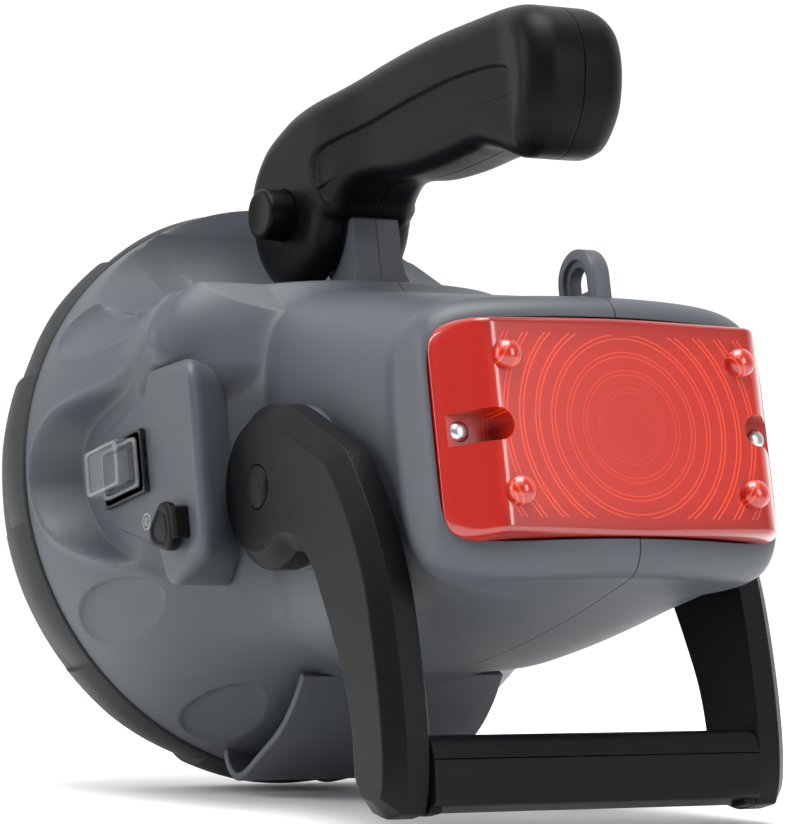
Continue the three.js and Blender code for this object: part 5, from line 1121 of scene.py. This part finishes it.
# Tail lamp, with a flat map of its face in tenths of a metre for the prisms
lens_mesh = combined("lens", lens_parts(), [notch_parts(-1), notch_parts(1)], sharp=40)
PEG = [(0, 1.5), (4.15, 1.5), (4.15, -1.6)] + bend(0, -1.6, 4.15, -3, 0.15, 8)
for x in (-PEG_PLACE[0], PEG_PLACE[0]):
    for z in (-PEG_PLACE[1], PEG_PLACE[1]):
        lens_mesh = combined("lens", lens_mesh, [moved(turned(PEG, 48), x, LENS_CENTRE + z)], "UNION", sharp=40)
uv = lens_mesh.uv_layers.new(name="face")
spots = np.empty(len(lens_mesh.vertices) * 3)
lens_mesh.vertices.foreach_get("co", spots)
local = (spots.reshape(-1, 3) / MM - PLACE) @ TURN
corner = np.empty(len(lens_mesh.loops), int)
lens_mesh.loops.foreach_get("vertex_index", corner)
face = np.stack([local[corner, 0], local[corner, 2] - PRISM_CENTRE], 1) / FACE_SCALE
uv.data.foreach_set("uv", face.ravel())
piece("lens", lens_mesh, RED, "housing", "red_lens", ["tail_lens"])
LENS_SCREW = [(0, 12), (2.9, 12), (2.9, 10.1), (2.5, 9.5), (1.6, 9), (0, 8.9)]
for name, side in SIDES:
    screw = moved(turned(LENS_SCREW, 40), side * SCREW_PLACE, LENS_CENTRE - 0.3)
    piece(f"lens_screw_{name}", screw, STEEL, "housing", "steel", [f"tail_lens_screw_{name}"])

# Grip
hub_pocket = across(hub_profile(HUB_RADIUS + RUNNING_GAP, POST_HALF + RUNNING_GAP), GRIP_AXIS, steps=96)
button_hole = across([(0, 8.5), (8.1, 8.5), (8.1, 30), (0, 30)], GRIP_AXIS, -1, 72)
shaft_hole = across([(0, 0), (4.3, 0), (4.3, 30), (0, 30)], GRIP_AXIS, 1, 48)
for (name, side), hole in zip(SIDES, (button_hole, shaft_hole)):
    half = combined(f"grip_half_{name}", grip_half(side), [slot_parts(), hub_pocket, hole], sharp=40)
    piece(f"grip_half_{name}", half, *ON_GRIP, [f"grip_{name}"])
piece("release_button", button_parts(), GRIP, "button", "grip_plastic", ["grip_button"])
piece("shaft_end", shaft_end_parts(), GRIP, "button", "grip_plastic")

# Stand
RECESS = [(0, 63.4), (CAP_RADIUS + 0.3, 63.4), (CAP_RADIUS + 0.3, 70), (0, 70)]
DOME = [(0, 63.7), (CAP_RADIUS, 63.7), (CAP_RADIUS, 65.9)] + bend(0, 65.9, CAP_RADIUS, 1.6, 0.15, 8)
for name, side in SIDES:
    arm = combined(f"arm_{name}", arm_parts(side), [across(RECESS, PIVOT, side, 64)], sharp=25)
    piece(f"arm_{name}", arm, *ON_STAND, [f"stand_arm_{name}"])
    piece(f"hub_dome_{name}", across(DOME, PIVOT, side, 64), *ON_STAND, [f"hub_cap_{name}"])
piece("bar_upper", bar_half(-109.25, -100), *ON_STAND, ["stand_bar_upper"])
bar_lower = combined("bar_lower", bar_half(-125, -109.55), [nub_parts(side) for side in (-1, 1)], "UNION")
piece("bar_lower", bar_lower, *ON_STAND, ["stand_bar_lower"])

# Floor, light and camera
floor_mesh = mesh_of("floor", [(-30, -30, 0), (30, -30, 0), (30, 30, 0), (-30, 30, 0)], [(0, 1, 2, 3)])
floor = thing("floor", floor_mesh)
floor_finish, floor_tree, floor_shader = material("floor")
dress(floor_shader, Base_Color=linear("fcfcfc"), Roughness=0.7)
floor_mesh.materials.append(floor_finish)

FAR_WAY = (0.45, 0.85, 0.1)
NEAR_LIGHT = 0.22
FAR_LIGHT = 1.1
LOOK_AT = (0, 0, 0.1)


def light_room(tree):
    """The room: bright on the far side and dim on the near side, in a smooth ramp over the direction."""
    where = add(tree, "TexCoord").outputs["Generated"]
    way = add(tree, "VectorMath", operation="DOT_PRODUCT", Vector=where)
    way.inputs[1].default_value = FAR_WAY
    ramp = add(tree, "MapRange", interpolation_type="SMOOTHSTEP", Value=way.outputs["Value"],
               From_Min=-0.25, From_Max=0.45, To_Min=NEAR_LIGHT, To_Max=FAR_LIGHT)
    dress(tree.nodes["Background"], Strength=ramp.outputs[0], Color=(1, 1, 1, 1))


world = bpy.data.worlds.new("room")
world.use_nodes = True
light_room(world.node_tree)
bpy.context.scene.world = world

def softbox(name, place, size, power):
    light = bpy.data.lights.new(name, "AREA")
    light.shape = "RECTANGLE"
    light.size, light.size_y = size
    light.energy = power
    made = thing(name, light)
    made.location = place
    made.rotation_euler = (Vector(LOOK_AT) - Vector(place)).to_track_quat("-Z", "Y").to_euler()


softbox("overhead", (-0.1, -0.2, 1.3), (0.9, 0.9), 20)
softbox("front", (0.45, -1.3, 0.6), (0.35, 0.7), 6)
softbox("side", (-1.25, 0.35, 0.6), (0.3, 0.9), 8)
sun = bpy.data.lights.new("fill", "SUN")
sun.energy = 1.3
sun.angle = math.radians(60)
fill = thing("fill", sun)
fill.rotation_euler = (math.radians(20), math.radians(-15), 0)

# Camera fitted to the photograph: degrees, pixels for the focal length and the picture, else millimetres
VIEW_TURN = -31.30
VIEW_RISE = -12.20
VIEW_ROLL = -5.61
FOCAL_PIXELS = 4025.64
OFFSET = (63.85, 4.06)
RANGE = 1094.49
PICTURE_HEIGHT = 824
AXIS_LIFT = 24.3


def view_axes():
    """Right, up and forward of the camera in the lamp frame, from its turn, rise and roll."""
    turn, rise, roll = (math.radians(value) for value in (VIEW_TURN, VIEW_RISE, VIEW_ROLL))
    forward = -np.array([math.sin(turn) * math.cos(rise), -math.cos(turn) * math.cos(rise), math.sin(rise)])
    right = np.cross(forward, [0, 0, 1])
    right /= np.linalg.norm(right)
    up = np.cross(right, forward)
    return (
        right * math.cos(roll) + up * math.sin(roll),
        up * math.cos(roll) - right * math.sin(roll),
        forward,
    )


right_way, up_way, forward_way = view_axes()
eye = np.linalg.solve(np.array([right_way, up_way, forward_way]), [-OFFSET[0], OFFSET[1], -RANGE])
eye[2] -= AXIS_LIFT
lens_data = bpy.data.cameras.new("camera")
camera = thing("camera", lens_data)
facing = np.column_stack([TURN @ right_way, TURN @ up_way, -(TURN @ forward_way)])
camera.matrix_world = Matrix.Translation(Vector(to_frame(eye)[0])) @ Matrix(facing.tolist()).to_4x4()
lens_data.sensor_fit = "AUTO"
lens_data.sensor_width = 36
lens_data.lens = lens_data.sensor_width * FOCAL_PIXELS / PICTURE_HEIGHT
lens_data.clip_start = 0.01
lens_data.clip_end = 20
bpy.context.scene.camera = camera
bpy.context.scene.view_settings.view_transform = "Standard"
